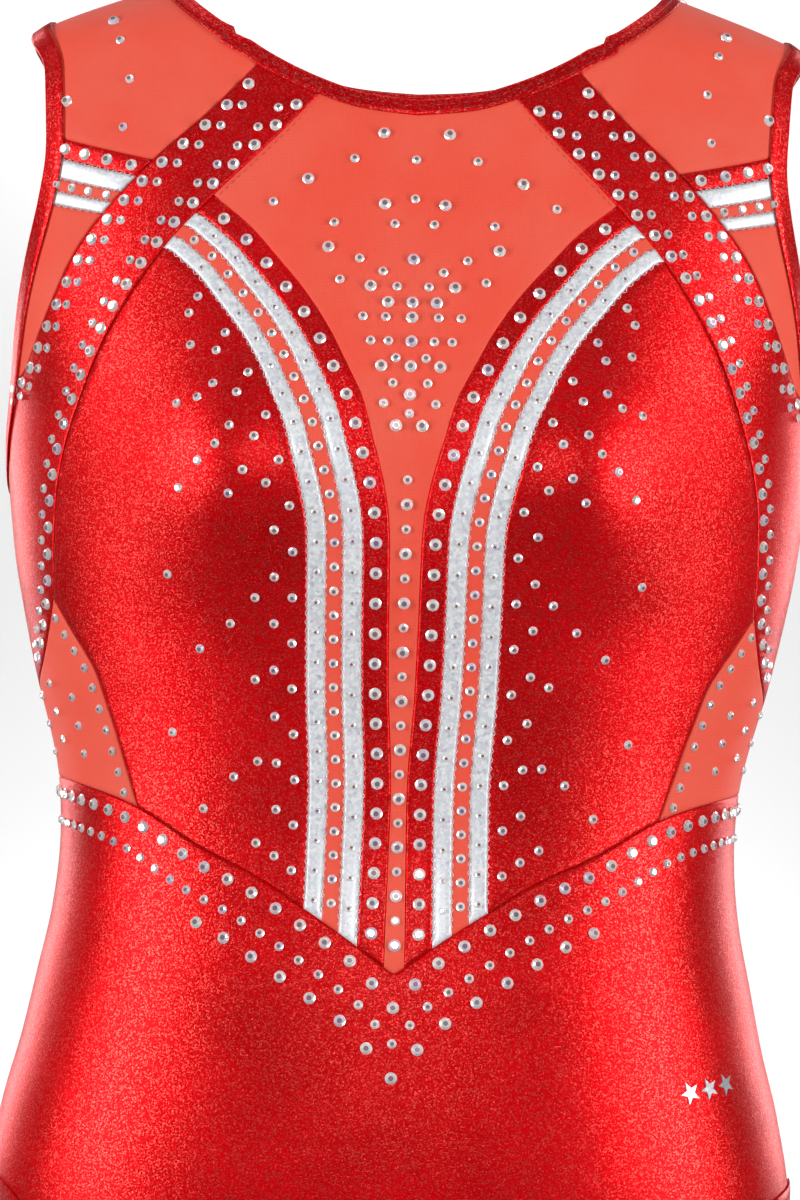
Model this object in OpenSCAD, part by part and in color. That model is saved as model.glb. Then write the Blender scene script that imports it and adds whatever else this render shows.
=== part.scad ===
// Sleeveless gymnastics leotard with a mesh yoke and crystal trim, shown as worn and hollow inside.
// +Z is up, -Y is the front and +X is the wearer's left. All sizes are in millimetres.
// The origin is the middle of the line between the two shoulder seams, where it hangs.
// A point of the skin is [angle, height]: 0 is the centre front, 90 the left side, 180 the back.

/* [Body] */
// Half width of the neck opening at the shoulder seam
neck_half = 97; // [85:1:115]
// Half width at the tip of the shoulder seam
tip_half = 150; // [130:1:180]
// Half width of the chest under the arm
chest_half = 157; // [135:1:190]
// Half width of the waist
waist_half = 132; // [110:1:160]
// Half width of the hips
hip_half = 157; // [135:1:190]
// Depth of the chest in front of the side seam
chest_front = 98; // [80:1:120]
// Depth of the waist in front of the side seam
waist_front = 84; // [68:1:102]
// Depth of the belly in front of the side seam
belly_front = 94; // [78:1:114]
// Depth of the shoulder blades behind the side seam
chest_back = 97; // [80:1:118]
// Depth of the waist behind the side seam
waist_back = 74; // [60:1:90]
// Depth of the seat behind the side seam
seat_back = 117; // [95:1:142]
// How far each bust cup stands out
bust_lift = 15; // [8:1:20]

/* [Heights above the crotch datum] */
// Top of the leg opening at the side seam
leg_h = 153; // [125:1:185]
// Narrowest part of the waist
waist_h = 287; // [245:1:345]
// Bottom of the armhole
arm_h = 432; // [390:1:520]
// Shoulder seam at its tip
tip_h = 605; // [560:1:727]
// Shoulder seam at the neck
neck_h = 626; // [600:1:752]

/* [Fabric and trim] */
// Thickness of the stretch fabric
cloth_t = 0.9; // [0.5:0.1:1.4]
// Width of the red strip beside the centre mesh
princess_w = 10.5; // [8:0.5:13]
// Width of the inner white stripe
inner_white_w = 7.2; // [5:0.1:9]
// Width of the coral stripe
coral_w = 6.5; // [5:0.1:8]
// Width of the outer white stripe
outer_white_w = 7; // [5:0.1:9]
// Width of the neck binding
neck_binding_w = 6; // [5:0.5:8]
// Width of the armhole binding
arm_binding_w = 8; // [6:0.5:10]
// Width of the leg binding
leg_binding_w = 9; // [7:0.5:11]
// Thickness of one fold of the binding
fold_t = 0.6; // [0.4:0.1:0.9]
// Thickness of the elastic inside a binding
elastic_t = 0.7; // [0.5:0.1:1]
// Diameter of a large crystal
large_stone = 4.7; // [3.8:0.1:5.7]
// Diameter of a small crystal
small_stone = 3.6; // [2.8:0.1:4.4]
// Distance from one large crystal to the next along a seam
stone_pitch = 10; // [8.5:0.5:13]
// Size of one star of the hip motif
star_d = 9; // [7:0.5:12]
// Diameter of a tiny crystal on the white stripes
tiny_stone = 2.6; // [2:0.1:3.2]
// Half width of the gusset
gusset_half = 32; // [26:1:40]

/* [Hidden] */

red = "#d0061c";
coral = "#fa5c48";
white = "#dde4e8";
crystal = "#f4f0ee";
lining = "#e8c8b4";

// Levels run 0 at the crotch, 1 leg top, 2 waist, 3 underarm, 4 shoulder tip, 5 neck point
stations = [0, leg_h, waist_h, arm_h, tip_h, neck_h];
// Below this height the body rounds under to the crotch
seat_h = 60;
// Less than 1 squares the body's cross-section a little
squareness = 0.85;
// Where the bust cups lie and how wide they spread
cup_x = 0.45 * chest_half;
cup_level = 3.03;
cup_spread = 38;
// Millimetres of cloth for each degree round the body
cloth_per_degree = 2.4;

function mix(a, b, t) = a + (b - a) * t;
function last(list) = list[len(list) - 1];
function level(t) = let (i = min(4, floor(t))) mix(stations[i], stations[i + 1], t - i);

// Smooth curve through knots [x, y], as a table for lookup()
function slope(k, i) =
    let (a = k[max(i - 1, 0)], b = k[min(i + 1, len(k) - 1)]) (b[1] - a[1]) / (b[0] - a[0]);
function ease(k, i, t) =
    let (d = k[i + 1][0] - k[i][0])
    k[i][1] * (2 * t ^ 3 - 3 * t ^ 2 + 1) + slope(k, i) * d * (t ^ 3 - 2 * t ^ 2 + t)
    + k[i + 1][1] * (3 * t ^ 2 - 2 * t ^ 3) + slope(k, i + 1) * d * (t ^ 3 - t ^ 2);
function table(k, steps = 8) = [
    for (i = [0:len(k) - 2]) for (s = [0:steps - 1])
        [mix(k[i][0], k[i + 1][0], s / steps), ease(k, i, s / steps)],
    last(k)
];
function at_levels(k) = table([for (p = k) [level(p[0]), p[1]]]);

half_table = at_levels([
    [0, 0.51 * hip_half], [0.39, 0.82 * hip_half], [0.72, 0.97 * hip_half], [1, hip_half],
    [1.24, mix(waist_half, hip_half, 0.8)], [1.44, mix(waist_half, hip_half, 0.52)],
    [1.63, mix(waist_half, hip_half, 0.3)], [1.81, mix(waist_half, hip_half, 0.1)],
    [2, waist_half], [2.17, mix(waist_half, chest_half, 0.04)],
    [2.28, mix(waist_half, chest_half, 0.16)], [2.455, mix(waist_half, chest_half, 0.44)],
    [2.64, mix(waist_half, chest_half, 0.68)], [2.79, mix(waist_half, chest_half, 0.84)],
    [3.05, chest_half], [3.2, chest_half + 0.5], [3.4, chest_half + 3],
    [3.74, chest_half + 6], [3.91, mix(tip_half, chest_half, 1.3)], [4, tip_half],
    [5, neck_half]
]);
front_table = at_levels([
    [0, 0], [0.39, 0.66 * belly_front], [0.65, 0.89 * belly_front], [0.92, 0.98 * belly_front],
    [1.2, belly_front], [1.58, 0.97 * belly_front], [2, waist_front],
    [2.3, mix(waist_front, chest_front, 0.15)], [2.5, mix(waist_front, chest_front, 0.42)],
    [2.78, mix(waist_front, chest_front, 0.9)], [3.04, chest_front],
    [3.28, 0.95 * chest_front], [3.5, 0.84 * chest_front], [3.74, 0.71 * chest_front],
    [3.86, 0.63 * chest_front], [4, 0.52 * chest_front], [5, 0.4 * chest_front]
]);
back_table = at_levels([
    [0, 0], [0.39, 0.75 * seat_back], [0.65, 0.96 * seat_back], [0.92, seat_back],
    [1.2, 0.93 * seat_back], [1.58, 0.76 * seat_back], [2, waist_back],
    [2.3, mix(waist_back, chest_back, 0.18)], [2.78, mix(waist_back, chest_back, 0.76)],
    [3.17, chest_back], [3.5, 0.98 * chest_back], [3.74, 0.88 * chest_back],
    [3.91, 0.72 * chest_back], [4, 0.62 * chest_back], [5, 0.46 * chest_back]
]);

// The body under the cloth: a stack of squared ellipses with two bust cups
function rise(h) = h >= seat_h ? h : seat_h / 2 + h ^ 2 / (2 * seat_h);
function cup(x, h) =
    bust_lift * exp(-((abs(x) - cup_x) / cup_spread) ^ 2 - ((h - level(cup_level)) / cup_spread) ^ 2);
function skin(a, h) =
    let (x = lookup(h, half_table) * sin(a), c = cos(a))
    [x,
     c > 0 ? -lookup(h, front_table) * c ^ squareness - cup(x, h) * sqrt(c)
           : lookup(h, back_table) * (-c) ^ squareness,
     rise(h) - neck_h];
function normal(a, h) =
    let (n = cross(skin(a + 1, h) - skin(a - 1, h), skin(a, h + 2) - skin(a, max(h - 2, 0))))
    n / norm(n);
function lifted(p, out) = skin(p[0], p[1]) + out * normal(p[0], p[1]);
function width_at(h) = lookup(h, half_table);
function angle_of(x, h) = asin(min(1, x / width_at(h)));
// Style lines drawn flat on the front: [x, height] and back to [angle, height]
function flat(line) = [for (p = line) [width_at(p[1]) * sin(p[0]), p[1]]];
function worn(line) = [for (p = line) [angle_of(p[0], p[1]), p[1]]];
function behind(line) = [for (p = line) [180 - p[0], p[1]]];
function reversed(line) = [for (i = [len(line) - 1:-1:0]) line[i]];
function opposite(line) = [for (p = line) [-p[0], p[1]]];
function round_back(line) = [for (p = line) [360 - p[0], p[1]]];
function after(list, first) = [for (i = [first:len(list) - 1]) list[i]];

// Curve through control points [angle, level], and a straight line between two points
function bent(p, steps = 5) = [
    for (i = [0:len(p) - 2])
        let (a = p[max(i - 1, 0)], b = p[i], c = p[i + 1], d = p[min(i + 2, len(p) - 1)])
        for (s = [0:steps - 1])
            let (t = s / steps)
            0.5 * (2 * b + (c - a) * t + (2 * a - 5 * b + 4 * c - d) * t ^ 2
                   + (3 * b - a - 3 * c + d) * t ^ 3),
    last(p)
];
function styled(p) = [for (q = bent(p)) [q[0], level(q[1])]];
function straight(a, b) = [for (i = [0:8]) mix(a, b, i / 8)];

// Point at a share of a line's length on the cloth
function cloth_gap(a, b) = norm([(b[0] - a[0]) * cloth_per_degree, b[1] - a[1]]);
function mileage(line, i = 0, sum = 0) =
    i == len(line) - 1 ? [[sum, i]]
    : concat([[sum, i]], mileage(line, i + 1, sum + max(0.001, cloth_gap(line[i], line[i + 1]))));
function shares(line, list) =
    let (m = mileage(line), whole = last(m)[0])
    [for (s = list)
        let (f = lookup(s * whole, m), i = min(floor(f), len(line) - 2))
        mix(line[i], line[i + 1], f - i)];
function share(line, s) = shares(line, [s])[0];
function even(n) = [for (i = [0:n]) i / n];
// Part of a line from one share of its length to another
function part(line, from, to, n = 16) = shares(line, [for (i = [0:n]) mix(from, to, i / n)]);
function height_share(line, h) =
    lookup(-h, [for (s = even(80)) [-share(line, s)[1], s]]);

// ---- Style lines, each from its top end down ----
neck_front = styled([
    [0, 3.838], [7.1, 3.851], [12.2, 3.876], [17.2, 3.908], [21.6, 3.942], [25, 3.971],
    [28.4, 3.994], [31.5, 4.095], [35.3, 4.238], [39.8, 4.381], [45.3, 4.524], [52.2, 4.667],
    [61.1, 4.81], [72.1, 4.929], [90, 5]
]);
neck_back = behind(styled([
    [0, 3.919], [6.9, 3.925], [12, 3.936], [18, 3.96], [22.5, 3.983], [26.3, 4],
    [30.2, 4.143], [34.7, 4.286], [40.1, 4.429], [46.6, 4.571], [54.6, 4.714], [63, 4.833],
    [72.1, 4.929], [90, 5]
]));
arm_front = styled([
    [90, 4], [78, 3.98], [66.2, 3.919], [61.3, 3.757], [63.2, 3.613], [71, 3.416], [79, 3.2],
    [85, 3.06], [90, 3]
]);
arm_back = styled([
    [90, 4], [101, 3.98], [112, 3.92], [117, 3.757], [115, 3.613], [108, 3.4], [101, 3.2],
    [95, 3.06], [90, 3]
]);
strap_inner = styled([
    [12.2, 3.876], [19.3, 3.751], [28.3, 3.617], [36.1, 3.503], [43.5, 3.373], [50, 3.243],
    [55.1, 3.108], [59.3, 2.966], [61.7, 2.807], [64.5, 2.66], [74, 2.5], [90, 2.39]
]);
strap_outer = styled([
    [21.6, 3.942], [29.4, 3.809], [38.3, 3.696], [47.8, 3.575], [54.6, 3.48], [61, 3.37],
    [67.2, 3.275], [72, 3.22], [79, 3.2]
]);
waist_seam = styled([
    [0, 1.679], [7.2, 1.769], [15.6, 1.862], [24.6, 1.948], [34.6, 2.017], [49.1, 2.117],
    [66.6, 2.166], [90, 2.185]
]);
back_waist_seam = styled([[90, 2.185], [115, 2.17], [140, 2.1], [160, 2.02], [180, 1.95]]);
side_front = styled([
    [64.5, 2.66], [60.1, 2.577], [57.1, 2.521], [54.8, 2.462], [53.2, 2.35], [51.5, 2.223],
    [49.1, 2.117]
]);
leg_front = styled([
    [90, 1], [70.5, 0.954], [53.6, 0.81], [40.9, 0.641], [31.6, 0.484], [24.5, 0.34],
    [21, 0.183], [angle_of(gusset_half, 0), 0]
]);
leg_back = behind(styled([
    [90, 1], [73, 0.915], [58.6, 0.719], [48, 0.536], [38.8, 0.379], [29.3, 0.248],
    [25, 0.131], [angle_of(gusset_half, 0), 0]
]));
side_end = [90, level(2.185)];
arm_bottom = [90, arm_h];
strap_tip = [90, level(2.39)];
strap_joint = last(strap_outer);

// The edge of the centre mesh, drawn flat, ending on the waist seam
mesh_edge_flat = flat(styled([
    [28.3, 3.617], [22.9, 3.551], [18.9, 3.483], [14.7, 3.405], [11.4, 3.327], [9.1, 3.257],
    [6.5, 3.173], [5, 3.09], [3.5, 3.004], [2.5, 2.906], [2.2, 2.807], [2.1, 2.604],
    [1.9, 2.421], [1.3, 2.211], [1.4, 2.007], [1.6, 1.78]
]));
// Stripes narrow a little where they meet the strap
stripe_taper = 0.85;
taper_steps = 30;
function side_step(line, i) =
    let (t = line[min(i + 1, len(line) - 1)] - line[max(i - 1, 0)])
    [-t[1], t[0]] / norm(t);
function seam_height(x) = lookup(x, [for (p = waist_seam) [width_at(p[1]) * sin(p[0]), p[1]]]);
// A line that runs beside the mesh edge, from the strap down to the waist seam
function stripe_line(gap) =
    let (n = len(mesh_edge_flat), m = mesh_edge_flat,
         moved = [for (i = [0:n - 1])
             m[i] + side_step(m, i) * gap * mix(stripe_taper, 1, min(1, i / taper_steps))],
         foot = last(moved)[0], floor_h = seam_height(foot))
    worn([for (i = [0:n - 1])
        i == n - 1 ? [foot, floor_h] : [moved[i][0], max(moved[i][1], floor_h + n - i)]]);
// The line's first point, moved on to the strap's edge
function from_strap(line) =
    let (s = height_share(strap_inner, line[0][1]))
    concat([share(strap_inner, s)], after(line, 1));
edge_0 = stripe_line(0);
edge_1 = from_strap(stripe_line(princess_w));
edge_2 = from_strap(stripe_line(princess_w + inner_white_w));
edge_3 = from_strap(stripe_line(princess_w + inner_white_w + coral_w));
edge_4 = from_strap(stripe_line(princess_w + inner_white_w + coral_w + outer_white_w));

// A pointed panel stops this far along the lines that meet, so its tip keeps a small width
end_share = 0.98;

// ---- Panels: a grid of [angle, height] between four style lines, given a thickness ----
function coons(top, bottom, left, right, rows, cols) =
    let (t = shares(top, even(cols)), b = shares(bottom, even(cols)),
         l = shares(left, even(rows)), r = shares(right, even(rows)))
    [for (i = [0:rows])
        let (v = i / rows)
        [for (j = [0:cols])
            let (u = j / cols)
            mix(t[j], b[j], v) + mix(l[i], r[i], u)
            - mix(mix(t[0], t[cols], u), mix(b[0], b[cols], u), v)]];
function between(left, right, rows, cols) =
    coons(straight(left[0], right[0]), straight(last(left), last(right)), left, right, rows, cols);

function shell_faces(rows, cols) =
    let (c = cols + 1, n = (rows + 1) * c)
    concat(
        [for (i = [0:rows - 1]) for (j = [0:cols - 1])
            each let (k = i * c + j)
                [[k, k + 1, k + c + 1], [k, k + c + 1, k + c],
                 [n + k, n + k + c + 1, n + k + 1], [n + k, n + k + c, n + k + c + 1]]],
        [for (j = [0:cols - 1])
            each let (k = rows * c + j)
                [[j + 1, j, n + j], [j + 1, n + j, n + j + 1],
                 [k, k + 1, n + k + 1], [k, n + k + 1, n + k]]],
        [for (i = [0:rows - 1])
            each let (k = i * c, e = k + cols)
                [[k, k + c, n + k + c], [k, n + k + c, n + k],
                 [e + c, e, n + e], [e + c, n + e, n + e + c]]]
    );
module panel(grid, inside = 0, outside = cloth_t) {
    polyhedron(
        points = [for (out = [outside, inside]) for (row = grid) for (p = row) lifted(p, out)],
        faces = shell_faces(len(grid) - 1, len(grid[0]) - 1)
    );
}
module right_side() { mirror([1, 0, 0]) children(); }

// ---- Edge trims: a section swept along a closed edge ----
// A section point is [outward past the edge, out of the cloth]
function edge_frame(line, i) =
    let (n = len(line), p = line[i], up = normal(p[0], p[1]),
         a = line[(i + 1) % n], b = line[(i + n - 1) % n],
         along = skin(a[0], a[1]) - skin(b[0], b[1]), side = cross(up, along))
    [skin(p[0], p[1]), side / norm(side), up];
module trim(line, section, side = 1) {
    n = len(line);
    m = len(section);
    frames = [for (i = [0:n - 1]) edge_frame(line, i)];
    polyhedron(
        points = [for (f = frames) for (s = section) f[0] + side * s[0] * f[1] + s[1] * f[2]],
        faces = [for (i = [0:n - 1]) for (j = [0:m - 1])
            each let (a = i * m + j, b = i * m + (j + 1) % m, c = (i + 1) % n * m + j,
                      d = (i + 1) % n * m + (j + 1) % m)
                side > 0 ? [[a, b, d], [a, d, c]] : [[a, d, b], [a, c, d]]]
    );
}
// The folded binding wraps the cloth and its elastic and turns over past the edge
lip = 0.8;
slot_low = -elastic_t - 0.1;
slot_high = cloth_t + 0.1;
function binding_section(w) = [
    [-w, slot_high], [-w, slot_high + fold_t], [0, slot_high + fold_t],
    [lip, (slot_high + slot_low) / 2], [0, slot_low - fold_t], [-w, slot_low - fold_t],
    [-w, slot_low], [-0.3, slot_low], [-0.3, slot_high]
];
function elastic_section(w) = [
    [-w + 1, -0.05], [-0.4, -0.05], [-0.4, -elastic_t - 0.05], [-w + 1, -elastic_t - 0.05]
];
function loop(a, b, n) = concat(
    [for (s = [0:n - 1]) share(a, s / n)], [for (s = [0:n - 1]) share(b, s / n)]
);
neck_steps = 14;
neck_loop = concat(
    loop(neck_front, reversed(neck_back), neck_steps),
    loop(round_back(neck_back), reversed(opposite(neck_front)), neck_steps)
);
arm_loop = loop(arm_front, reversed(arm_back), 22);
leg_loop = loop(leg_front, reversed(leg_back), 20);

// ---- Crystals ----
module set_on(p, out) {
    n = normal(p[0], p[1]);
    translate(lifted(p, out)) rotate([0, acos(n[2]), atan2(n[1], n[0])]) children();
}
stone_h = 0.4;
stone_table = 0.5;
module crystal(p, d) {
    set_on(p, cloth_t) cylinder(h = stone_h * d, d1 = d, d2 = stone_table * d, $fn = 16);
}
// Millimetres of cloth for one degree round the body, and for one millimetre of height
function round_scale(p) = norm(skin(p[0] + 0.5, p[1]) - skin(p[0] - 0.5, p[1]));
function up_scale(p) = norm(skin(p[0], p[1] + 1) - skin(p[0], p[1]));
// A line parallel to another, a distance on the cloth to the left of its direction
function beside(line, gap, n = 40) =
    let (p = shares(line, even(n)))
    [for (i = [0:n])
        let (b = p[max(i - 1, 0)], c = p[min(i + 1, n)], wide = round_scale(p[i]),
             high = up_scale(p[i]), d = [(c[0] - b[0]) * wide, (c[1] - b[1]) * high],
             size = max(0.001, norm(d)))
        p[i] + gap / size * [-d[1] / wide, d[0] / high]];
function true_length(line, n = 40) =
    let (p = [for (q = shares(line, even(n))) skin(q[0], q[1])],
         gaps = [for (i = [1:n]) norm(p[i] - p[i - 1])])
    gaps * [for (g = gaps) 1];
// A row of crystals at an even pitch along part of a line
module row(line, d, pitch = 1, from = 0, to = 1, phase = 0) {
    count = max(1, round(true_length(line) * (to - from) / (pitch * stone_pitch)));
    marks = [for (i = [0:count - 1]) from + (to - from) * (i + 0.5 + phase) / count];
    for (p = shares(line, [for (m = marks) if (m <= to) m])) crystal(p, d);
}
module both_sides() {
    children();
    right_side() children();
}
// A line between two others, at a share of the way across
function amid(a, b, t, n = 24) = let (p = shares(a, even(n)), q = shares(b, even(n)))
    [for (i = [0:n]) mix(p[i], q[i], t)];

// ---- Front ----
module front_body() {
    from = height_share(strap_inner, edge_4[0][1]);
    to = height_share(strap_inner, mesh_top);
    color(red) panel(coons(
        part(strap_inner, from, to), part(waist_seam, foot_share(edge_4), side_share),
        edge_4, side_front, 14, 12));
}
function foot_share(line) = let (x = last(line)[0])
    lookup(x, [for (s = even(60)) [share(waist_seam, s)[0], s]]);
side_share = foot_share(side_front);
mesh_top = side_front[0][1];
module front_body_left() { front_body(); }
module front_body_right() { right_side() front_body(); }

module princess_strip() { color(red) panel(between(edge_0, edge_1, 24, 2)); }
module princess_strip_left() { princess_strip(); }
module princess_strip_right() { right_side() princess_strip(); }

module inner_white_stripe() { color(white) panel(between(edge_1, edge_2, 24, 1)); }
module inner_white_stripe_left() { inner_white_stripe(); }
module inner_white_stripe_right() { right_side() inner_white_stripe(); }

module coral_stripe() { color(coral) panel(between(edge_2, edge_3, 24, 1)); }
module coral_stripe_left() { coral_stripe(); }
module coral_stripe_right() { right_side() coral_stripe(); }

module outer_white_stripe() { color(white) panel(between(edge_3, edge_4, 24, 1)); }
module outer_white_stripe_left() { outer_white_stripe(); }
module outer_white_stripe_right() { right_side() outer_white_stripe(); }

// The yoke and its narrowing tail are one piece of mesh
strap_foot = height_share(strap_inner, edge_0[0][1]);
module centre_mesh() {
    neck_part = part(neck_front, 0, neck_to(strap_inner[0]));
    edge = concat(part(strap_inner, 0, strap_foot, 6), [for (i = [1:len(edge_0) - 1]) edge_0[i]]);
    bottom = part(waist_seam, 0, foot_share(edge_0), 4);
    color(coral) panel(coons(
        concat(reversed(opposite(neck_part)), [for (i = [1:16]) neck_part[i]]),
        concat(reversed(opposite(bottom)), [for (i = [1:4]) bottom[i]]),
        opposite(edge), edge, 22, 8));
}
// Share of the neckline at which a point of it lies
function neck_to(p, line = neck_front) = lookup(p[0], [for (s = even(60)) [share(line, s)[0], s]]);

module front_strap() {
    color(red) panel(coons(
        part(neck_front, neck_to(strap_inner[0]), neck_to(strap_outer[0])),
        straight(strap_tip, arm_bottom), strap_inner,
        concat(part(strap_outer, 0, 1), part(arm_front, height_share(arm_front, strap_joint[1]), 1, 6)),
        22, 4));
}
module front_strap_left() { front_strap(); }
module front_strap_right() { right_side() front_strap(); }

// Heights of the chest band's seams at the armhole and at the strap
band_at_arm = [3.757, 3.71, 3.665, 3.635, 3.605];
band_at_strap = [3.696, 3.659, 3.624, 3.6, 3.575];
function band_end(i) = [
    share(strap_outer, height_share(strap_outer, level(band_at_strap[i]))),
    share(arm_front, height_share(arm_front, level(band_at_arm[i])))
];
module band(i) {
    upper = band_end(i);
    lower = band_end(i + 1);
    panel(coons(straight(upper[0], upper[1]), straight(lower[0], lower[1]),
        straight(upper[0], lower[0]), straight(upper[1], lower[1]), 1, 4));
}
module chest_band_foil_left() { color(red) band(0); }
module chest_band_foil_right() { right_side() chest_band_foil_left(); }
module chest_band_white_left() {
    color(white) band(1);
    color(white) band(3);
}
module chest_band_white_right() { right_side() chest_band_white_left(); }
module chest_band_coral_left() { color(coral) band(2); }
module chest_band_coral_right() { right_side() chest_band_coral_left(); }

module shoulder_mesh() {
    start = band_end(0);
    s = height_share(strap_outer, level(band_at_strap[0]));
    t = height_share(arm_front, level(band_at_arm[0]));
    color(coral) panel(coons(
        part(neck_front, neck_to(strap_outer[0]), 1),
        concat(straight(start[0], start[1]), [for (p = reversed(part(arm_front, 0, t))) p]),
        part(strap_outer, 0, s), straight([90, neck_h], [90, tip_h]), 8, 10));
}
module shoulder_mesh_left() { shoulder_mesh(); }
module shoulder_mesh_right() { right_side() shoulder_mesh(); }

module armpit_mesh() {
    s = height_share(strap_outer, level(last(band_at_strap)));
    t = height_share(arm_front, level(last(band_at_arm)));
    joint = height_share(arm_front, strap_joint[1]);
    color(coral) panel(between(
        part(strap_outer, s, end_share), part(arm_front, t, joint * end_share), 12, 3));
}
module armpit_mesh_left() { armpit_mesh(); }
module armpit_mesh_right() { right_side() armpit_mesh(); }

module side_mesh() {
    s = height_share(strap_inner, mesh_top);
    top = part(strap_inner, s, 1);
    bottom = part(waist_seam, side_share, 1);
    color(coral) panel(coons(
        concat(top, [for (i = [15:-1:0]) [180 - top[i][0], top[i][1]]]),
        concat(bottom, [for (i = [15:-1:0]) [180 - bottom[i][0], bottom[i][1]]]),
        side_front, behind(side_front), 6, 10));
}
module side_mesh_left() { side_mesh(); }
module side_mesh_right() { right_side() side_mesh(); }

module front_brief() {
    side = concat(straight(side_end, [90, leg_h]), [for (i = [1:len(leg_front) - 1]) leg_front[i]]);
    crotch = last(leg_front);
    color(red) panel(coons(
        concat(reversed(opposite(waist_seam)), [for (i = [1:len(waist_seam) - 1]) waist_seam[i]]),
        straight([-crotch[0], 0], crotch), opposite(side), side, 18, 18));
}

// ---- Back ----
module back_brief() {
    side = concat(straight(side_end, [90, leg_h]), [for (i = [1:len(leg_back) - 1]) leg_back[i]]);
    crotch = last(leg_back);
    seam = back_waist_seam;
    color(red) panel(coons(
        concat(seam, after(reversed(round_back(seam)), 1)),
        straight(crotch, [360 - crotch[0], 0]), side, round_back(side), 18, 18));
}
// The back neckline is its own curve, so the straps start from it
strap_start = [14, 24];
strap_bend = 5;
function back_line(line, start) =
    concat([share(neck_back, neck_to_back(180 - start))], behind(after(line, strap_bend)));
back_inner = back_line(strap_inner, strap_start[0]);
back_outer = back_line(strap_outer, strap_start[1]);
function neck_to_back(a) = lookup(-a, [for (s = even(60)) [-share(neck_back, s)[0], s]]);
module back_strap() {
    color(red) panel(coons(
        part(neck_back, neck_to_back(back_outer[0][0]), neck_to_back(back_inner[0][0])),
        straight(arm_bottom, strap_tip),
        concat(part(back_outer, 0, 1), part(arm_back, height_share(arm_back, strap_joint[1]), 1, 6)),
        back_inner, 22, 4));
}
module back_strap_left() { back_strap(); }
module back_strap_right() { right_side() back_strap(); }

module back_shoulder() {
    joint = height_share(arm_back, strap_joint[1]);
    color(coral) panel(coons(
        reversed(part(neck_back, neck_to_back(back_outer[0][0]), 1)),
        straight(share(arm_back, joint * end_share), share(back_outer, end_share)),
        part(arm_back, 0, joint * end_share), part(back_outer, 0, end_share), 12, 6));
}
module back_shoulder_left() { back_shoulder(); }
module back_shoulder_right() { right_side() back_shoulder(); }

yoke_share = height_share(back_inner, level(3.45));
yoke_edge = styled([[139, 3.45], [146, 3.35], [157, 3.25], [170, 3.2], [180, 3.19]]);
yoke_line = concat([share(back_inner, yoke_share)], after(yoke_edge, 1));
module back_yoke_mesh() {
    neck_part = reversed(part(neck_back, 0, neck_to_back(back_inner[0][0])));
    side = part(back_inner, 0, yoke_share);
    color(coral) panel(coons(
        concat(neck_part, after(reversed(round_back(neck_part)), 1)),
        concat(yoke_line, after(reversed(round_back(yoke_line)), 1)),
        side, round_back(side), 8, 10));
}
module back_body() {
    s = height_share(back_inner, mesh_top);
    color(red) panel(coons(
        yoke_line, part(back_waist_seam, 1 - back_side_share, 1),
        concat(part(back_inner, yoke_share, s, 10), after(behind(side_front), 1)),
        straight(last(yoke_line), last(back_waist_seam)), 14, 10));
}
back_side_share = 1 - lookup(180 - last(side_front)[0],
    [for (s = even(60)) [share(back_waist_seam, s)[0], s]]);
module back_body_left() { back_body(); }
module back_body_right() { right_side() back_body(); }

// ---- Bindings and elastics ----
module neck_binding() { color(red) trim(neck_loop, binding_section(neck_binding_w)); }
module neck_elastic() { color("white") trim(neck_loop, elastic_section(neck_binding_w)); }
module armhole_binding_left() { color(red) trim(arm_loop, binding_section(arm_binding_w)); }
module armhole_binding_right() { right_side() armhole_binding_left(); }
module armhole_elastic_left() { color("white") trim(arm_loop, elastic_section(arm_binding_w)); }
module armhole_elastic_right() { right_side() armhole_elastic_left(); }
module leg_binding_left() { color(red) trim(leg_loop, binding_section(leg_binding_w)); }
module leg_binding_right() { right_side() leg_binding_left(); }
module leg_elastic_left() { color("white") trim(leg_loop, elastic_section(leg_binding_w)); }
module leg_elastic_right() { right_side() leg_elastic_left(); }

// ---- Inside ----
lining_gap = 0.6;
lining_t = 0.6;
lining_low = 2.62;
// Half of the angle that the bust lining spans
lining_wide = 68;
underbust_w = 10;
module bust_lining() {
    top = styled([[-46, 3.2], [-25, 3.3], [0, 3.25], [25, 3.3], [46, 3.2]]);
    bottom = straight([-lining_wide, level(lining_low)], [lining_wide, level(lining_low)]);
    color(lining) panel(coons(top, bottom, straight(top[0], bottom[0]),
        straight(last(top), last(bottom)), 6, 14), -lining_gap - lining_t, -lining_gap);
}
module underbust_elastic() {
    high = [lining_wide, level(lining_low) - 0.5];
    low = [lining_wide, high[1] - underbust_w];
    top = straight([-high[0], high[1]], high);
    bottom = straight([-low[0], low[1]], low);
    color("white") panel(coons(top, bottom, straight(top[0], bottom[0]), straight(high, low), 1, 18),
        -lining_gap - lining_t - elastic_t, -lining_gap);
}
// The gusset lining crosses the crotch, from the front to the back
gusset_front = 70;
gusset_back = 64;
gusset_inset = 4;
module gusset_lining() {
    half = gusset_half - gusset_inset;
    steps = 8;
    side = 2;
    grid = [for (i = [-steps:steps])
        let (h = abs(i) / steps * (i < 0 ? gusset_front : gusset_back))
        [for (j = [-side:side])
            let (a = angle_of(abs(j) / side * half, h) * sign(j))
            i <= 0 ? [a, h] : [180 - a, h]]];
    color(lining) panel(grid, -lining_gap - lining_t, -lining_gap);
}
label_h = 18;
label_spread = 6;
label_depth = [-2.2, -1.8];
module size_label() {
    top = level(3.86);
    near = [180 - label_spread, top];
    far = [180 + label_spread, top];
    drop = [0, -label_h];
    color("white") panel(between(straight(near, near + drop), straight(far, far + drop), 3, 4),
        label_depth[0], label_depth[1]);
}

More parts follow.
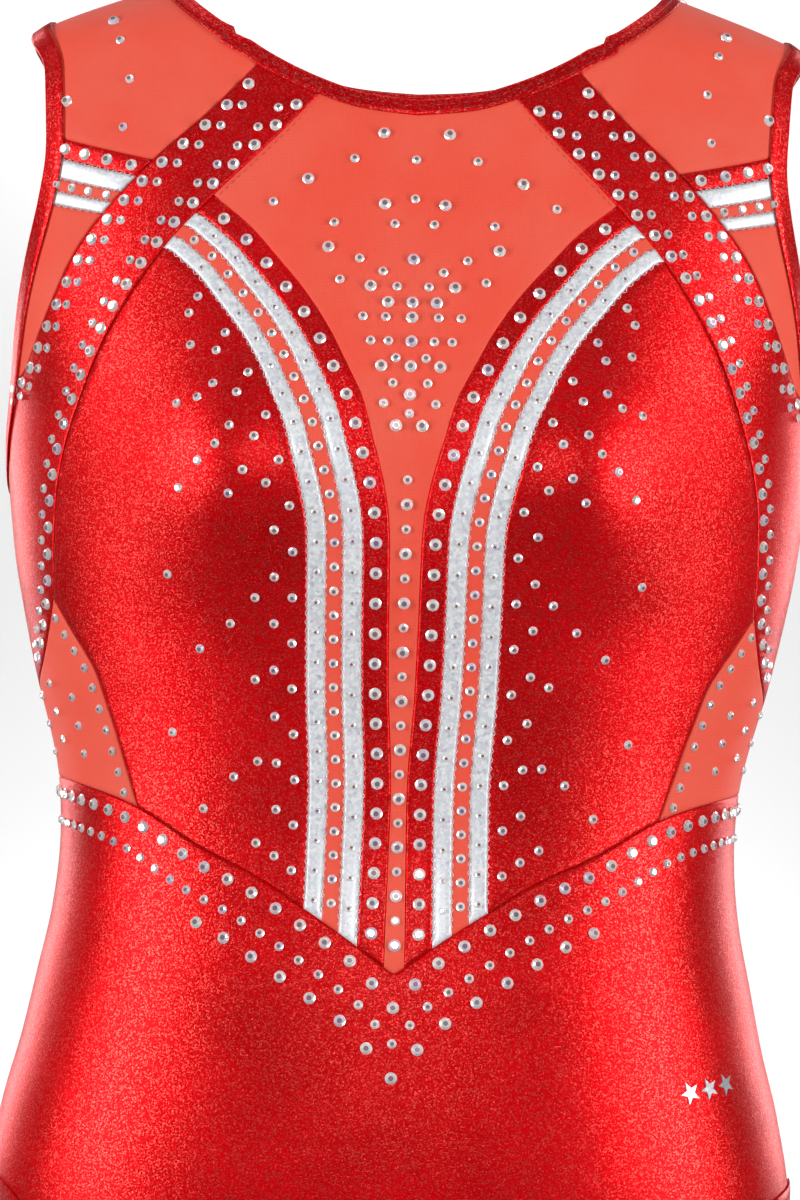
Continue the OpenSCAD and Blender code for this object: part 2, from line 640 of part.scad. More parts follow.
// ---- Hip motif: a short row of plain stars ----
star_t = 0.4;
motif_at = [[50.5, 1.35], [55.5, 1.36], [60.5, 1.37]];
module star(d) {
    polygon([for (i = [0:9]) let (r = i % 2 == 0 ? d / 2 : d / 5) r * [cos(36 * i), sin(36 * i)]]);
}
module hip_motif() {
    for (p = motif_at)
        color(white) set_on([p[0], level(p[1])], cloth_t) linear_extrude(star_t) star(star_d);
}

// ---- Crystals by region: each row is [gap, size, pitch, from, to, phase] ----
module rows_beside(line, list) {
    for (r = list) row(beside(line, r[0]), r[1], r[2], r[3], r[4], r[5]);
}
edge_gap = 3.4;
row_gap = 4.4;
front_rim = part(strap_inner, 0, 0.9);
back_rim = part(back_inner, 0, 0.9);
front_rows = [
    [edge_gap, large_stone, 1, 0.03, 1, 0], [edge_gap + row_gap, small_stone, 1, 0.03, 0.97, 0.5]
];
outer_rows = [
    [-edge_gap, large_stone, 1, 0.04, 1, 0], [-edge_gap - row_gap, small_stone, 1, 0.05, 0.99, 0.5]
];
module strap_crystals() {
    color(crystal) both_sides() {
        rows_beside(front_rim, front_rows);
        rows_beside(strap_outer, outer_rows);
        rows_beside(back_rim, [[-edge_gap, large_stone, 1, 0.03, 1, 0]]);
        rows_beside(back_outer, [[edge_gap, large_stone, 1, 0.04, 1, 0]]);
    }
}
module princess_crystals() {
    color(crystal) both_sides() row(amid(edge_0, edge_1, 0.5), large_stone, 1.2, 0.012, 0.99);
}
module stripe_crystals() {
    color(crystal) both_sides() {
        row(amid(edge_1, edge_2, 0.5), tiny_stone, 1.2, 0.02, 0.98);
        row(amid(edge_2, edge_3, 0.5), small_stone, 0.96, 0.01, 0.985);
        row(amid(edge_3, edge_4, 0.5), tiny_stone, 1.2, 0.02, 0.98, 0.5);
    }
}
shoulder_stones = [[44, 3.88], [57, 3.83], [48, 3.97], [55, 4.12], [44, 3.77]];
band_end_share = 0.88;
module chest_band_crystals() {
    color(crystal) both_sides() {
        for (r = [[0, large_stone, 1], [2, small_stone, 0.8]]) {
            a = band_end(r[0]);
            b = band_end(r[0] + 1);
            row(straight(mix(a[0], b[0], 0.5), mix(a[1], b[1], 0.5)), r[1], r[2], 0, band_end_share);
        }
        for (i = [0:len(shoulder_stones) - 1])
            crystal([shoulder_stones[i][0], level(shoulder_stones[i][1])],
                i % 2 == 0 ? small_stone : large_stone);
    }
}
// The yoke's fan: [level, distances of large stones, distances of small stones] from the centre
yoke_fan = [
    [3.764, [12.5], []], [3.705, [], [0, 23.5]], [3.657, [41], []], [3.617, [], [0]],
    [3.604, [11.5], [54]], [3.56, [], [7.5, 30.5]], [3.505, [32.5], []], [3.481, [0], [20.5]],
    [3.453, [], [11.5]], [3.433, [], [27.7]], [3.42, [16], [6]], [3.385, [0, 9.2], []],
    [3.352, [0], [10, 18.6]], [3.299, [0], [8.7, 15.4]], [3.262, [], [5.7]],
    [3.244, [0, 11.2], []], [3.207, [], [6.6]], [3.182, [0], []], [3.162, [], [9.9]],
    [3.141, [], [0]], [3.114, [5], []]
];
module fan_stone(x, h, d) {
    crystal([angle_of(x, h), h], d);
    if (x > 0) right_side() crystal([angle_of(x, h), h], d);
}
tail_levels = [3.05, 1.76];
module yoke_crystals() {
    tail = straight([0, level(tail_levels[0])], [0, level(tail_levels[1])]);
    color(crystal) {
        for (r = yoke_fan) {
            for (x = r[1]) fan_stone(x, level(r[0]), large_stone);
            for (x = r[2]) fan_stone(x, level(r[0]), small_stone);
        }
        row(tail, small_stone, 1.9);
        row(tail, large_stone, 1.9, 0, 1, 0.5);
    }
}
// Stones scatter away from the outer stripe, closest together next to it and near the strap
bust_columns = [
    [5.5, small_stone, 1.8, 0.05, 0.98, 0], [12.5, small_stone, 1.8, 0.05, 0.96, 0],
    [20, small_stone, 1.6, 0.08, 0.36, 0], [20, small_stone, 3.6, 0.42, 0.93, 0.3],
    [28, small_stone, 1.7, 0.1, 0.34, 0.5], [30, small_stone, 5, 0.42, 0.92, 0],
    [37, small_stone, 1.9, 0.12, 0.32, 0], [43, small_stone, 6, 0.36, 0.9, 0.3],
    [48, small_stone, 2.6, 0.14, 0.3, 0.5], [57, small_stone, 7, 0.3, 0.85, 0]
];
module bust_crystals() {
    color(crystal) both_sides() rows_beside(edge_4, bust_columns);
}
side_gap = 4.2;
// Stones in the middle of the side mesh: first angle and level, steps, and the stagger
side_grid = [64, 2.25, 9, 0.075, 0.035];
module side_crystals() {
    color(crystal) both_sides() for (turn = [false, true]) {
        edge = beside(side_front, side_gap);
        row(turn ? behind(edge) : edge, small_stone, 0.84, 0.03, 0.97);
        for (i = [0:2]) for (j = [0:2]) {
            a = side_grid[0] + side_grid[2] * i;
            h = level(side_grid[1] + side_grid[3] * j + side_grid[4] * (i % 2));
            crystal([turn ? 180 - a : a, h], small_stone);
        }
    }
}
// Rows below the waist seam: [gap, size, pitch, end, drop of the stone on the centre line]
waist_rows = [
    [6, large_stone, 1, 0.97, 12.5], [17, small_stone, 0.82, 0.97, 26],
    [26, large_stone, 1.14, 0.42, 39]
];
from_angle = 5;
module waist_crystals() {
    color(crystal) for (r = waist_rows) {
        point = [0, waist_seam[0][1] - r[4]];
        line = concat([point], [for (p = beside(waist_seam, -r[0])) if (p[0] > from_angle) p]);
        crystal(point, r[1]);
        both_sides() row(line, r[1], r[2], 0, r[3], 0.5);
    }
}

front_body_left();
front_body_right();
princess_strip_left();
princess_strip_right();
inner_white_stripe_left();
inner_white_stripe_right();
coral_stripe_left();
coral_stripe_right();
outer_white_stripe_left();
outer_white_stripe_right();
centre_mesh();
shoulder_mesh_left();
shoulder_mesh_right();
armpit_mesh_left();
armpit_mesh_right();
front_strap_left();
front_strap_right();
chest_band_foil_left();
chest_band_foil_right();
chest_band_white_left();
chest_band_white_right();
chest_band_coral_left();
chest_band_coral_right();
side_mesh_left();
side_mesh_right();
front_brief();
back_brief();
back_yoke_mesh();
back_shoulder_left();
back_shoulder_right();
back_strap_left();
back_strap_right();
back_body_left();
back_body_right();
neck_binding();
neck_elastic();
armhole_binding_left();
armhole_binding_right();
armhole_elastic_left();
armhole_elastic_right();
leg_binding_left();
leg_binding_right();
leg_elastic_left();
leg_elastic_right();
bust_lining();
underbust_elastic();
gusset_lining();
size_label();
hip_motif();
strap_crystals();
princess_crystals();
yoke_crystals();
stripe_crystals();
chest_band_crystals();
bust_crystals();
side_crystals();
waist_crystals();
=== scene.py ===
# %% [markdown]
# # A crystal-trimmed gymnastics leotard
# The real garment is cut from flat stretch cloth and sewn edge to edge. Worn, every panel takes the
# body's shape, so all of them lie on one curved skin. This lesson first describes that skin and the
# style lines drawn on it, then lays each panel, binding, stitch and crystal on it.
# Everything is in metres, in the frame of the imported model.

# %% Load the frame
import bisect
import math
import random
import bmesh
import bpy
from mathutils import Matrix, Vector


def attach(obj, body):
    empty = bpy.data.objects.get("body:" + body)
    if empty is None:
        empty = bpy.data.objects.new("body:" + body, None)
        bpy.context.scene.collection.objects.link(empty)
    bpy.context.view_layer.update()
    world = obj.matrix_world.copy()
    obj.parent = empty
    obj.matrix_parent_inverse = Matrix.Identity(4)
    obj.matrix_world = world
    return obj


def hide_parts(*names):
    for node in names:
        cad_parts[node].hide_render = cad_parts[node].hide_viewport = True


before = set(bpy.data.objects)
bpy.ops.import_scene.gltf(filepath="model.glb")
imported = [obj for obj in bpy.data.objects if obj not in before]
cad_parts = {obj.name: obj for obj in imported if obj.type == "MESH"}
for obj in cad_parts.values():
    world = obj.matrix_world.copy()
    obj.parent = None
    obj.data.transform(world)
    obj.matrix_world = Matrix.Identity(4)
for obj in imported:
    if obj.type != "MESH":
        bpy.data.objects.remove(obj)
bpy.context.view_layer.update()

MM = 0.001

# %% [markdown]
# ## The camera and the studio
# The garment is seen straight on, from the height of the bust, through a long lens that flattens
# it a little. The wearer's line leans by a degree or two, so the camera is rolled instead of the
# garment. A pale sweep of paper stands far behind, with lamps of its own, so that the camera can also
# go round the garment.

# %% Camera
VIEW_DISTANCE = 2.2
VIEW_WIDTH = 0.316
VIEW_CENTRE = Vector((-0.0016, 0, -0.24))
VIEW_ROLL = math.radians(-1.6)
SENSOR = 36

camera_data = bpy.data.cameras.new("camera")
camera_data.sensor_fit = "HORIZONTAL"
camera_data.sensor_width = SENSOR
camera_data.lens = SENSOR * VIEW_DISTANCE / VIEW_WIDTH
camera = bpy.data.objects.new("camera", camera_data)
camera.location = VIEW_CENTRE + Vector((0, -VIEW_DISTANCE, 0))
camera.rotation_euler = (math.radians(90), VIEW_ROLL, 0)
bpy.context.collection.objects.link(camera)
bpy.context.scene.camera = camera
print("camera lens", round(camera_data.lens), "mm")

# %% Lights and the paper sweep
def area_light(name, place, target, size, power):
    data = bpy.data.lights.new(name, "AREA")
    data.shape = "RECTANGLE"
    data.size, data.size_y = size
    data.energy = power
    light = bpy.data.objects.new(name, data)
    light.location = place
    light.rotation_euler = (Vector(target) - Vector(place)).to_track_quat("-Z", "Y").to_euler()
    bpy.context.collection.objects.link(light)


MIDDLE = (0, 0, -0.3)
area_light("left_softbox", (-1.85, -1.0, -0.1), MIDDLE, (0.4, 1.7), 32)
area_light("right_softbox", (1.85, -1.0, -0.1), MIDDLE, (0.4, 1.7), 32)
area_light("front_fill", (0, -2.7, 0.3), MIDDLE, (0.4, 0.3), 13)
area_light("top_light", (0, 0.2, 1.6), MIDDLE, (1.2, 1.2), 7)
area_light("left_back_light", (-1.4, 1.7, 0.2), MIDDLE, (0.5, 1.6), 16)
area_light("right_back_light", (1.4, 1.7, 0.2), MIDDLE, (0.5, 1.6), 16)
area_light("upper_paper_wash", (0, 7.7, 1.8), (0, 9, -0.1), (3.2, 0.4), 61)
area_light("lower_paper_wash", (0, 7.7, -1.7), (0, 9, -0.5), (3.2, 0.3), 37)

ROOM_COLOUR, ROOM_STRENGTH = (0.93, 0.935, 0.94, 1), 0.13
world = bpy.data.worlds.new("studio")
bpy.context.scene.world = world
world.use_nodes = True
room = world.node_tree.nodes["Background"].inputs
room["Color"].default_value, room["Strength"].default_value = ROOM_COLOUR, ROOM_STRENGTH
bpy.context.scene.view_settings.view_transform = "Standard"


def paper_sweep():
    """A sheet of paper that curves up far behind the garment, so the garment can be seen all round."""
    half, front, wall, floor, top, bend, steps = 2.2, 6.8, 9.0, -1.95, 2.3, 0.7, 12
    bm = bmesh.new()
    profile = [(front, floor)]
    for i in range(steps + 1):
        turn = math.radians(90) * i / steps
        profile.append((wall - bend + bend * math.sin(turn), floor + bend - bend * math.cos(turn)))
    profile.append((wall, top))
    points = [bm.verts.new((-half, y, z)) for y, z in profile]
    edges = [bm.edges.new(pair) for pair in zip(points, points[1:])]
    swept = bmesh.ops.extrude_edge_only(bm, edges=edges)
    moved = [v for v in swept["geom"] if isinstance(v, bmesh.types.BMVert)]
    bmesh.ops.translate(bm, verts=moved, vec=(2 * half, 0, 0))
    bmesh.ops.recalc_face_normals(bm, faces=bm.faces)
    mesh = bpy.data.meshes.new("paper_sweep")
    bm.to_mesh(mesh)
    bm.free()
    for face in mesh.polygons:
        face.use_smooth = True
    sweep = bpy.data.objects.new("paper_sweep", mesh)
    bpy.context.collection.objects.link(sweep)


paper_sweep()

# %% [markdown]
# ## The skin under the cloth
# The body is a stack of squared ellipses. Three smooth curves give their half width and their depth
# to the front and the back at each height, and two soft cups stand out of the chest. A point of the
# skin is an angle round the body (0 centre front, 90 the wearer's left side, 180 centre back) and a
# height above the crotch. Levels make heights readable: 1 is the leg opening, 2 the waist, 3 the
# underarm, 4 the shoulder tip and 5 the neck end of the shoulder seam.

# %% Body sizes, in millimetres
NECK_HALF, TIP_HALF, CHEST_HALF, WAIST_HALF, HIP_HALF = 97, 150, 157, 132, 157
CHEST_FRONT, WAIST_FRONT, BELLY_FRONT = 98, 84, 94
CHEST_BACK, WAIST_BACK, SEAT_BACK = 97, 74, 117
BUST_LIFT, CUP_LEVEL, CUP_SPREAD = 15, 3.03, 38
CUP_X = 0.45 * CHEST_HALF
STATIONS = [0, 153, 287, 432, 605, 626]
NECK_H, LEG_H, ARM_H = STATIONS[5], STATIONS[1], STATIONS[3]
SEAT_H = 60
SQUARENESS = 0.85
CLOTH_PER_DEGREE = 2.4


def mix(a, b, t):
    return a + (b - a) * t


def level(t):
    i = min(4, int(t))
    return mix(STATIONS[i], STATIONS[i + 1], t - i)


def smooth_curve(points):
    """A smooth function of height through points of (level, value)."""
    xs = [level(t) for t, _ in points]
    ys = [value for _, value in points]
    last = len(points) - 1
    slopes = []
    for i in range(last + 1):
        a, b = max(i - 1, 0), min(i + 1, last)
        slopes.append((ys[b] - ys[a]) / (xs[b] - xs[a]))

    def value(x):
        x = min(max(x, xs[0]), xs[-1])
        i = min(max(bisect.bisect_right(xs, x) - 1, 0), last - 1)
        d = xs[i + 1] - xs[i]
        t = (x - xs[i]) / d
        return (ys[i] * (2 * t**3 - 3 * t**2 + 1) + slopes[i] * d * (t**3 - 2 * t**2 + t)
                + ys[i + 1] * (3 * t**2 - 2 * t**3) + slopes[i + 1] * d * (t**3 - t**2))
    return value


def knots(low, high, rows):
    """Knots at these levels, each a share of the way from one size to another."""
    return [(t, mix(low, high, s)) for t, s in rows]


half_width = smooth_curve(
    knots(0, HIP_HALF, [(0, 0.51), (0.39, 0.82), (0.72, 0.97), (1, 1)])
    + knots(WAIST_HALF, HIP_HALF, [(1.24, 0.8), (1.44, 0.52), (1.63, 0.3), (1.81, 0.1), (2, 0)])
    + knots(WAIST_HALF, CHEST_HALF, [(2.17, 0.04), (2.28, 0.16), (2.455, 0.44), (2.64, 0.68),
                                     (2.79, 0.84), (3.05, 1)])
    + [(3.2, CHEST_HALF + 0.5), (3.4, CHEST_HALF + 3), (3.74, CHEST_HALF + 6),
       (3.91, mix(TIP_HALF, CHEST_HALF, 1.3)), (4, TIP_HALF), (5, NECK_HALF)])
front_depth = smooth_curve(
    knots(0, BELLY_FRONT, [(0, 0), (0.39, 0.66), (0.65, 0.89), (0.92, 0.98), (1.2, 1), (1.58, 0.97)])
    + knots(WAIST_FRONT, CHEST_FRONT, [(2, 0), (2.3, 0.15), (2.5, 0.42), (2.78, 0.9), (3.04, 1)])
    + knots(0, CHEST_FRONT, [(3.28, 0.95), (3.5, 0.84), (3.74, 0.71), (3.86, 0.63), (4, 0.52),
                             (5, 0.4)]))
back_depth = smooth_curve(
    knots(0, SEAT_BACK, [(0, 0), (0.39, 0.75), (0.65, 0.96), (0.92, 1), (1.2, 0.93), (1.58, 0.76)])
    + knots(WAIST_BACK, CHEST_BACK, [(2, 0), (2.3, 0.18), (2.78, 0.76), (3.17, 1)])
    + knots(0, CHEST_BACK, [(3.5, 0.98), (3.74, 0.88), (3.91, 0.72), (4, 0.62), (5, 0.46)]))


def cup(x, h):
    return BUST_LIFT * math.exp(-((abs(x) - CUP_X) / CUP_SPREAD) ** 2
                                - ((h - level(CUP_LEVEL)) / CUP_SPREAD) ** 2)


def skin(a, h):
    """The point of the body's skin at an angle in degrees and a height in millimetres."""
    turn = math.radians(a)
    x, c = half_width(h) * math.sin(turn), math.cos(turn)
    if c > 0:
        y = -front_depth(h) * c**SQUARENESS - cup(x, h) * math.sqrt(c)
    else:
        y = back_depth(h) * (-c) ** SQUARENESS
    z = h if h >= SEAT_H else SEAT_H / 2 + h * h / (2 * SEAT_H)
    return Vector((x, y, z - NECK_H)) * MM


def normal(a, h):
    round_it, up_it = skin(a + 1, h) - skin(a - 1, h), skin(a, h + 2) - skin(a, max(h - 2, 0))
    return round_it.cross(up_it).normalized()


def lifted(p, out):
    """A point of the skin, out along its normal by a distance in millimetres."""
    return skin(*p) + normal(*p) * (out * MM)


print("hips", round(2 * half_width(LEG_H)), "mm wide, waist", round(2 * half_width(STATIONS[2])))

# %% [markdown]
# ## Style lines
# A style line is a list of points on the skin. Each one is a smooth curve through a few control
# points of (angle, level), from its top end down. A line can be measured along the cloth, so a
# share of its length or a run of evenly spaced crystals comes from the same few functions.

# %% Working with lines
def bent(control, steps=8):
    """A smooth curve through control points, as a dense list."""
    line = []
    for i in range(len(control) - 1):
        a, b = control[max(i - 1, 0)], control[i]
        c, d = control[i + 1], control[min(i + 2, len(control) - 1)]
        for s in range(steps):
            t = s / steps
            line.append(tuple(
                0.5 * (2 * q + (r - p) * t + (2 * p - 5 * q + 4 * r - s4) * t**2
                       + (3 * q - p - 3 * r + s4) * t**3)
                for p, q, r, s4 in zip(a, b, c, d)))
    return line + [tuple(control[-1])]


def styled(control, steps=8):
    return [(a, level(t)) for a, t in bent(control, steps)]


def straight(a, b, steps=12):
    return [(mix(a[0], b[0], i / steps), mix(a[1], b[1], i / steps)) for i in range(steps + 1)]


def mileage(line):
    run = [0.0]
    for a, b in zip(line, line[1:]):
        run.append(run[-1] + max(1e-6, math.hypot((b[0] - a[0]) * CLOTH_PER_DEGREE, b[1] - a[1])))
    return run


def shares(line, wanted):
    """The points at these shares of a line's length."""
    run = mileage(line)
    points = []
    for s in wanted:
        goal = min(max(s, 0), 1) * run[-1]
        i = min(max(bisect.bisect_right(run, goal) - 1, 0), len(line) - 2)
        t = (goal - run[i]) / (run[i + 1] - run[i])
        points.append((mix(line[i][0], line[i + 1][0], t), mix(line[i][1], line[i + 1][1], t)))
    return points


def share(line, s):
    return shares(line, [s])[0]


def even(n):
    return [i / n for i in range(n + 1)]


def part(line, start, end, n=24):
    """The stretch of a line between two shares of its length."""
    return shares(line, [mix(start, end, t) for t in even(n)])


def where(line, axis, value, n=240):
    """The share of a line's length at which its angle (axis 0) or height (axis 1) has a value."""
    points = shares(line, even(n))
    for i in range(n):
        a, b = points[i][axis] - value, points[i + 1][axis] - value
        if a * b <= 0 and a != b:
            return (i + a / (a - b)) / n
    return 0.0 if abs(points[0][axis] - value) < abs(points[-1][axis] - value) else 1.0


def behind(line):
    return [(180 - a, h) for a, h in line]


def across(line):
    """The same line on the other side of the centre front."""
    return [(-a, h) for a, h in line]


def round_back(line):
    """The same line on the other side of the centre back."""
    return [(360 - a, h) for a, h in line]


def angle_of(x, h):
    return math.degrees(math.asin(max(-1, min(1, x / half_width(h)))))


def flat(line):
    return [(half_width(h) * math.sin(math.radians(a)), h) for a, h in line]


def worn(line):
    return [(angle_of(x, h), h) for x, h in line]


def side_step(line, i):
    """The unit step to the left of a flat line's own direction."""
    a, b = line[max(i - 1, 0)], line[min(i + 1, len(line) - 1)]
    dx, dy = b[0] - a[0], b[1] - a[1]
    size = math.hypot(dx, dy)
    return -dy / size, dx / size


def amid(a, b, t, n=40):
    """A line between two others, a share of the way across."""
    pairs = zip(shares(a, even(n)), shares(b, even(n)))
    return [(mix(p[0], q[0], t), mix(p[1], q[1], t)) for p, q in pairs]


# %% The leotard's own lines
GUSSET_HALF = 32
neck_front = styled([(0, 3.838), (7.1, 3.851), (12.2, 3.876), (17.2, 3.908), (21.6, 3.942),
                     (25, 3.971), (28.4, 3.994), (31.5, 4.095), (35.3, 4.238), (39.8, 4.381),
                     (45.3, 4.524), (52.2, 4.667), (61.1, 4.81), (72.1, 4.929), (90, 5)])
neck_back = behind(styled([(0, 3.919), (6.9, 3.925), (12, 3.936), (18, 3.96), (22.5, 3.983),
                           (26.3, 4), (30.2, 4.143), (34.7, 4.286), (40.1, 4.429),
                           (46.6, 4.571), (54.6, 4.714), (63, 4.833), (72.1, 4.929), (90, 5)]))
arm_front = styled([(90, 4), (78, 3.98), (66.2, 3.919), (61.3, 3.757), (63.2, 3.613),
                    (71, 3.416), (79, 3.2), (85, 3.06), (90, 3)])
arm_back = styled([(90, 4), (101, 3.98), (112, 3.92), (117, 3.757), (115, 3.613),
                   (108, 3.4), (101, 3.2), (95, 3.06), (90, 3)])
strap_inner = styled([(12.2, 3.876), (19.3, 3.751), (28.3, 3.617), (36.1, 3.503), (43.5, 3.373),
                      (50, 3.243), (55.1, 3.108), (59.3, 2.966), (61.7, 2.807), (64.5, 2.66),
                      (74, 2.5), (90, 2.39)])
strap_outer = styled([(21.6, 3.942), (29.4, 3.809), (38.3, 3.696), (47.8, 3.575), (54.6, 3.48),
                      (61, 3.37), (67.2, 3.275), (72, 3.22), (79, 3.2)])
waist_seam = styled([(0, 1.679), (7.2, 1.769), (15.6, 1.862), (24.6, 1.948), (34.6, 2.017),
                     (49.1, 2.117), (66.6, 2.166), (90, 2.185)])
back_waist_seam = styled([(90, 2.185), (115, 2.17), (140, 2.1), (160, 2.02), (180, 1.95)])
side_front = styled([(64.5, 2.66), (60.1, 2.577), (57.1, 2.521), (54.8, 2.462), (53.2, 2.35),
                     (51.5, 2.223), (49.1, 2.117)])
crotch_angle = angle_of(GUSSET_HALF, 0)
leg_front = styled([(90, 1), (70.5, 0.954), (53.6, 0.81), (40.9, 0.641), (31.6, 0.484),
                    (24.5, 0.34), (21, 0.183), (crotch_angle, 0)])
leg_back = behind(styled([(90, 1), (73, 0.915), (58.6, 0.719), (48, 0.536), (38.8, 0.379),
                          (29.3, 0.248), (25, 0.131), (crotch_angle, 0)]))
side_end, arm_bottom, strap_tip = (90, level(2.185)), (90, ARM_H), (90, level(2.39))
strap_joint = strap_outer[-1]
side_share = where(waist_seam, 0, side_front[-1][0])
print("neckline", round(mileage(neck_front)[-1]), "mm from centre to shoulder")

# %% [markdown]
# ## Stripes that follow one edge
# The centre mesh narrows to a tail, and four stripes run beside its edge at their own widths. Drawn
# flat on the front, each is a step sideways from the same edge, so changing one width moves the rest.

# %% Stripe edges
PRINCESS_W, INNER_WHITE_W, CORAL_W, OUTER_WHITE_W = 10.5, 7.2, 6.5, 7
STRIPE_TAPER = 0.85
TAPER_END = 48
mesh_edge = flat(styled([
    (28.3, 3.617), (22.9, 3.551), (18.9, 3.483), (14.7, 3.405), (11.4, 3.327), (9.1, 3.257),
    (6.5, 3.173), (5, 3.09), (3.5, 3.004), (2.5, 2.906), (2.2, 2.807), (2.1, 2.604),
    (1.9, 2.421), (1.3, 2.211), (1.4, 2.007), (1.6, 1.78)]))
seam_flat = flat(waist_seam)


def seam_height(x):
    for (x0, h0), (x1, h1) in zip(seam_flat, seam_flat[1:]):
        if x0 <= x <= x1:
            return mix(h0, h1, (x - x0) / (x1 - x0))
    return seam_flat[-1][1]


def stripe_line(gap):
    """A line beside the mesh edge, from the strap down to the waist seam."""
    count = len(mesh_edge)
    beside = []
    for i, (x, h) in enumerate(mesh_edge):
        dx, dh = side_step(mesh_edge, i)
        step = gap * mix(STRIPE_TAPER, 1, min(1, i / TAPER_END))
        beside.append((x + dx * step, h + dh * step))
    foot = beside[-1][0]
    low = seam_height(foot)
    kept = [(x, max(h, low + (count - i) * 0.5)) for i, (x, h) in enumerate(beside[:-1])]
    return worn(kept + [(foot, low)])


def from_strap(line):
    """The line with its first point moved on to the strap's edge."""
    return [share(strap_inner, where(strap_inner, 1, line[0][1]))] + line[1:]


edge_0 = stripe_line(0)
edge_1 = from_strap(stripe_line(PRINCESS_W))
edge_2 = from_strap(stripe_line(PRINCESS_W + INNER_WHITE_W))
edge_3 = from_strap(stripe_line(PRINCESS_W + INNER_WHITE_W + CORAL_W))
edge_4 = from_strap(stripe_line(PRINCESS_W + INNER_WHITE_W + CORAL_W + OUTER_WHITE_W))
print("stripe lengths", [round(mileage(e)[-1]) for e in (edge_0, edge_1, edge_2, edge_3, edge_4)])

# %% [markdown]
# ## Finishes
# Shader maths reads best as plain sums, so a small class wraps a socket and turns + - * into Math
# nodes. One method adds any other node. Only what changes over a surface goes through nodes; what is
# the same everywhere is set on the shader itself.

# %% A socket that can be used in sums
class Wire:
    def __init__(self, tree, socket):
        self.tree, self.socket = tree, socket

    def maths(self, operation, *values):
        node = self.tree.nodes.new("ShaderNodeMath")
        node.operation = operation
        for slot, value in zip(node.inputs, values):
            if isinstance(value, Wire):
                self.tree.links.new(value.socket, slot)
            else:
                slot.default_value = value
        return Wire(self.tree, node.outputs[0])

    def __add__(self, other): return self.maths("ADD", self, other)
    def __radd__(self, other): return self.maths("ADD", other, self)
    def __sub__(self, other): return self.maths("SUBTRACT", self, other)
    def __rsub__(self, other): return self.maths("SUBTRACT", other, self)
    def __mul__(self, other): return self.maths("MULTIPLY", self, other)
    def __rmul__(self, other): return self.maths("MULTIPLY", other, self)
    def sine(self): return self.maths("SINE", self)

    def ramp_up(self, low, high):
        """0 below low, 1 above high and a smooth rise between."""
        node = self.tree.nodes.new("ShaderNodeMapRange")
        node.interpolation_type = "SMOOTHSTEP"
        node.inputs["From Min"].default_value = low
        node.inputs["From Max"].default_value = high
        self.tree.links.new(self.socket, node.inputs["Value"])
        return Wire(self.tree, node.outputs["Result"])


class Finish:
    """A material and its Principled shader."""
    def __init__(self, name, **constants):
        self.material = bpy.data.materials.new(name)
        self.material.use_nodes = True
        self.tree = self.material.node_tree
        self.shader = self.tree.nodes["Principled BSDF"]
        for socket, value in constants.items():
            self.shader.inputs[socket.replace("_", " ")].default_value = value

    def node(self, kind, settings=(), output=0, **inputs):
        node = self.tree.nodes.new("ShaderNode" + kind)
        for key, value in dict(settings).items():
            if key == "stops":
                for i, (place, colour) in enumerate(value):
                    stop = node.color_ramp.elements[i] if i < 2 else node.color_ramp.elements.new(place)
                    stop.position, stop.color = place, (*colour, 1)
            else:
                setattr(node, key, value)
        for key, value in inputs.items():
            slot = node.inputs[int(key[1:])] if key[0] == "i" and key[1:].isdigit() \
                else node.inputs[key.replace("_", " ")]
            if isinstance(value, Wire):
                self.tree.links.new(value.socket, slot)
            else:
                slot.default_value = value
        return Wire(self.tree, node.outputs[output])

    def place(self):
        return self.node("TexCoord", output="Object")

    def noise(self, vector, scale, detail=2):
        return self.node("TexNoise", Vector=vector, Scale=scale, Detail=detail, output="Fac")

    def cells(self, vector, scale, output="Distance"):
        return self.node("TexVoronoi", Vector=vector, Scale=scale, output=output)

    def blend(self, factor, a, b):
        return self.node("Mix", {"data_type": "RGBA"}, output=2, i0=factor, i6=a, i7=b)

    def feed(self, **links):
        for socket, wire in links.items():
            self.tree.links.new(wire.socket, self.shader.inputs[socket.replace("_", " ")])

    def bump(self, height, distance, strength=1.0):
        self.feed(Normal=self.node("Bump", Height=height, Distance=distance, Strength=strength))


def rgb(r, g, b):
    """A screen colour of 0 to 255 as the linear colour a shader wants."""
    def linear(c):
        c = c / 255
        return c / 12.92 if c <= 0.04045 else ((c + 0.055) / 1.055) ** 2.4
    return (linear(r), linear(g), linear(b), 1)


# %% [markdown]
# The red cloth is stretch jersey with a foil print of tiny dots. Seen close, each dot of about
# half a millimetre tilts its own way, so a highlight breaks into a sparkle of salmon on deep red.

# %% Red foil
def foil_finish(name, deep, bright, spark, grain=2000):
    f = Finish(name, Coat_Roughness=0.3, Specular_IOR_Level=0.1)
    spot = f.place()
    dots = f.cells(spot, grain)
    tilt = f.cells(spot, grain, output="Color")
    tone = f.node("SeparateColor", Color=tilt)
    cloud = f.noise(spot, 18, 2)
    fine = f.noise(spot, 2600, 1)
    mirror = tone.ramp_up(0.6, 0.9)
    body = f.blend(cloud.ramp_up(0.3, 0.72), deep, bright)
    f.feed(Base_Color=f.blend(mirror * 0.48, body, spark),
           Roughness=0.25 + 0.1 * fine,
           Metallic=0.45 + 0.53 * mirror,
           Coat_Weight=0.03 + 0.1 * mirror)
    f.bump(tone * 0.6 + fine * 0.4 - dots * 0.5, 0.0002, 0.75)
    return f.material


red_foil = foil_finish("red_foil", rgb(206, 0, 8), rgb(238, 0, 16), rgb(255, 96, 88))
binding_foil = foil_finish("binding_foil", rgb(196, 0, 8), rgb(226, 0, 16), rgb(255, 110, 98), 1700)
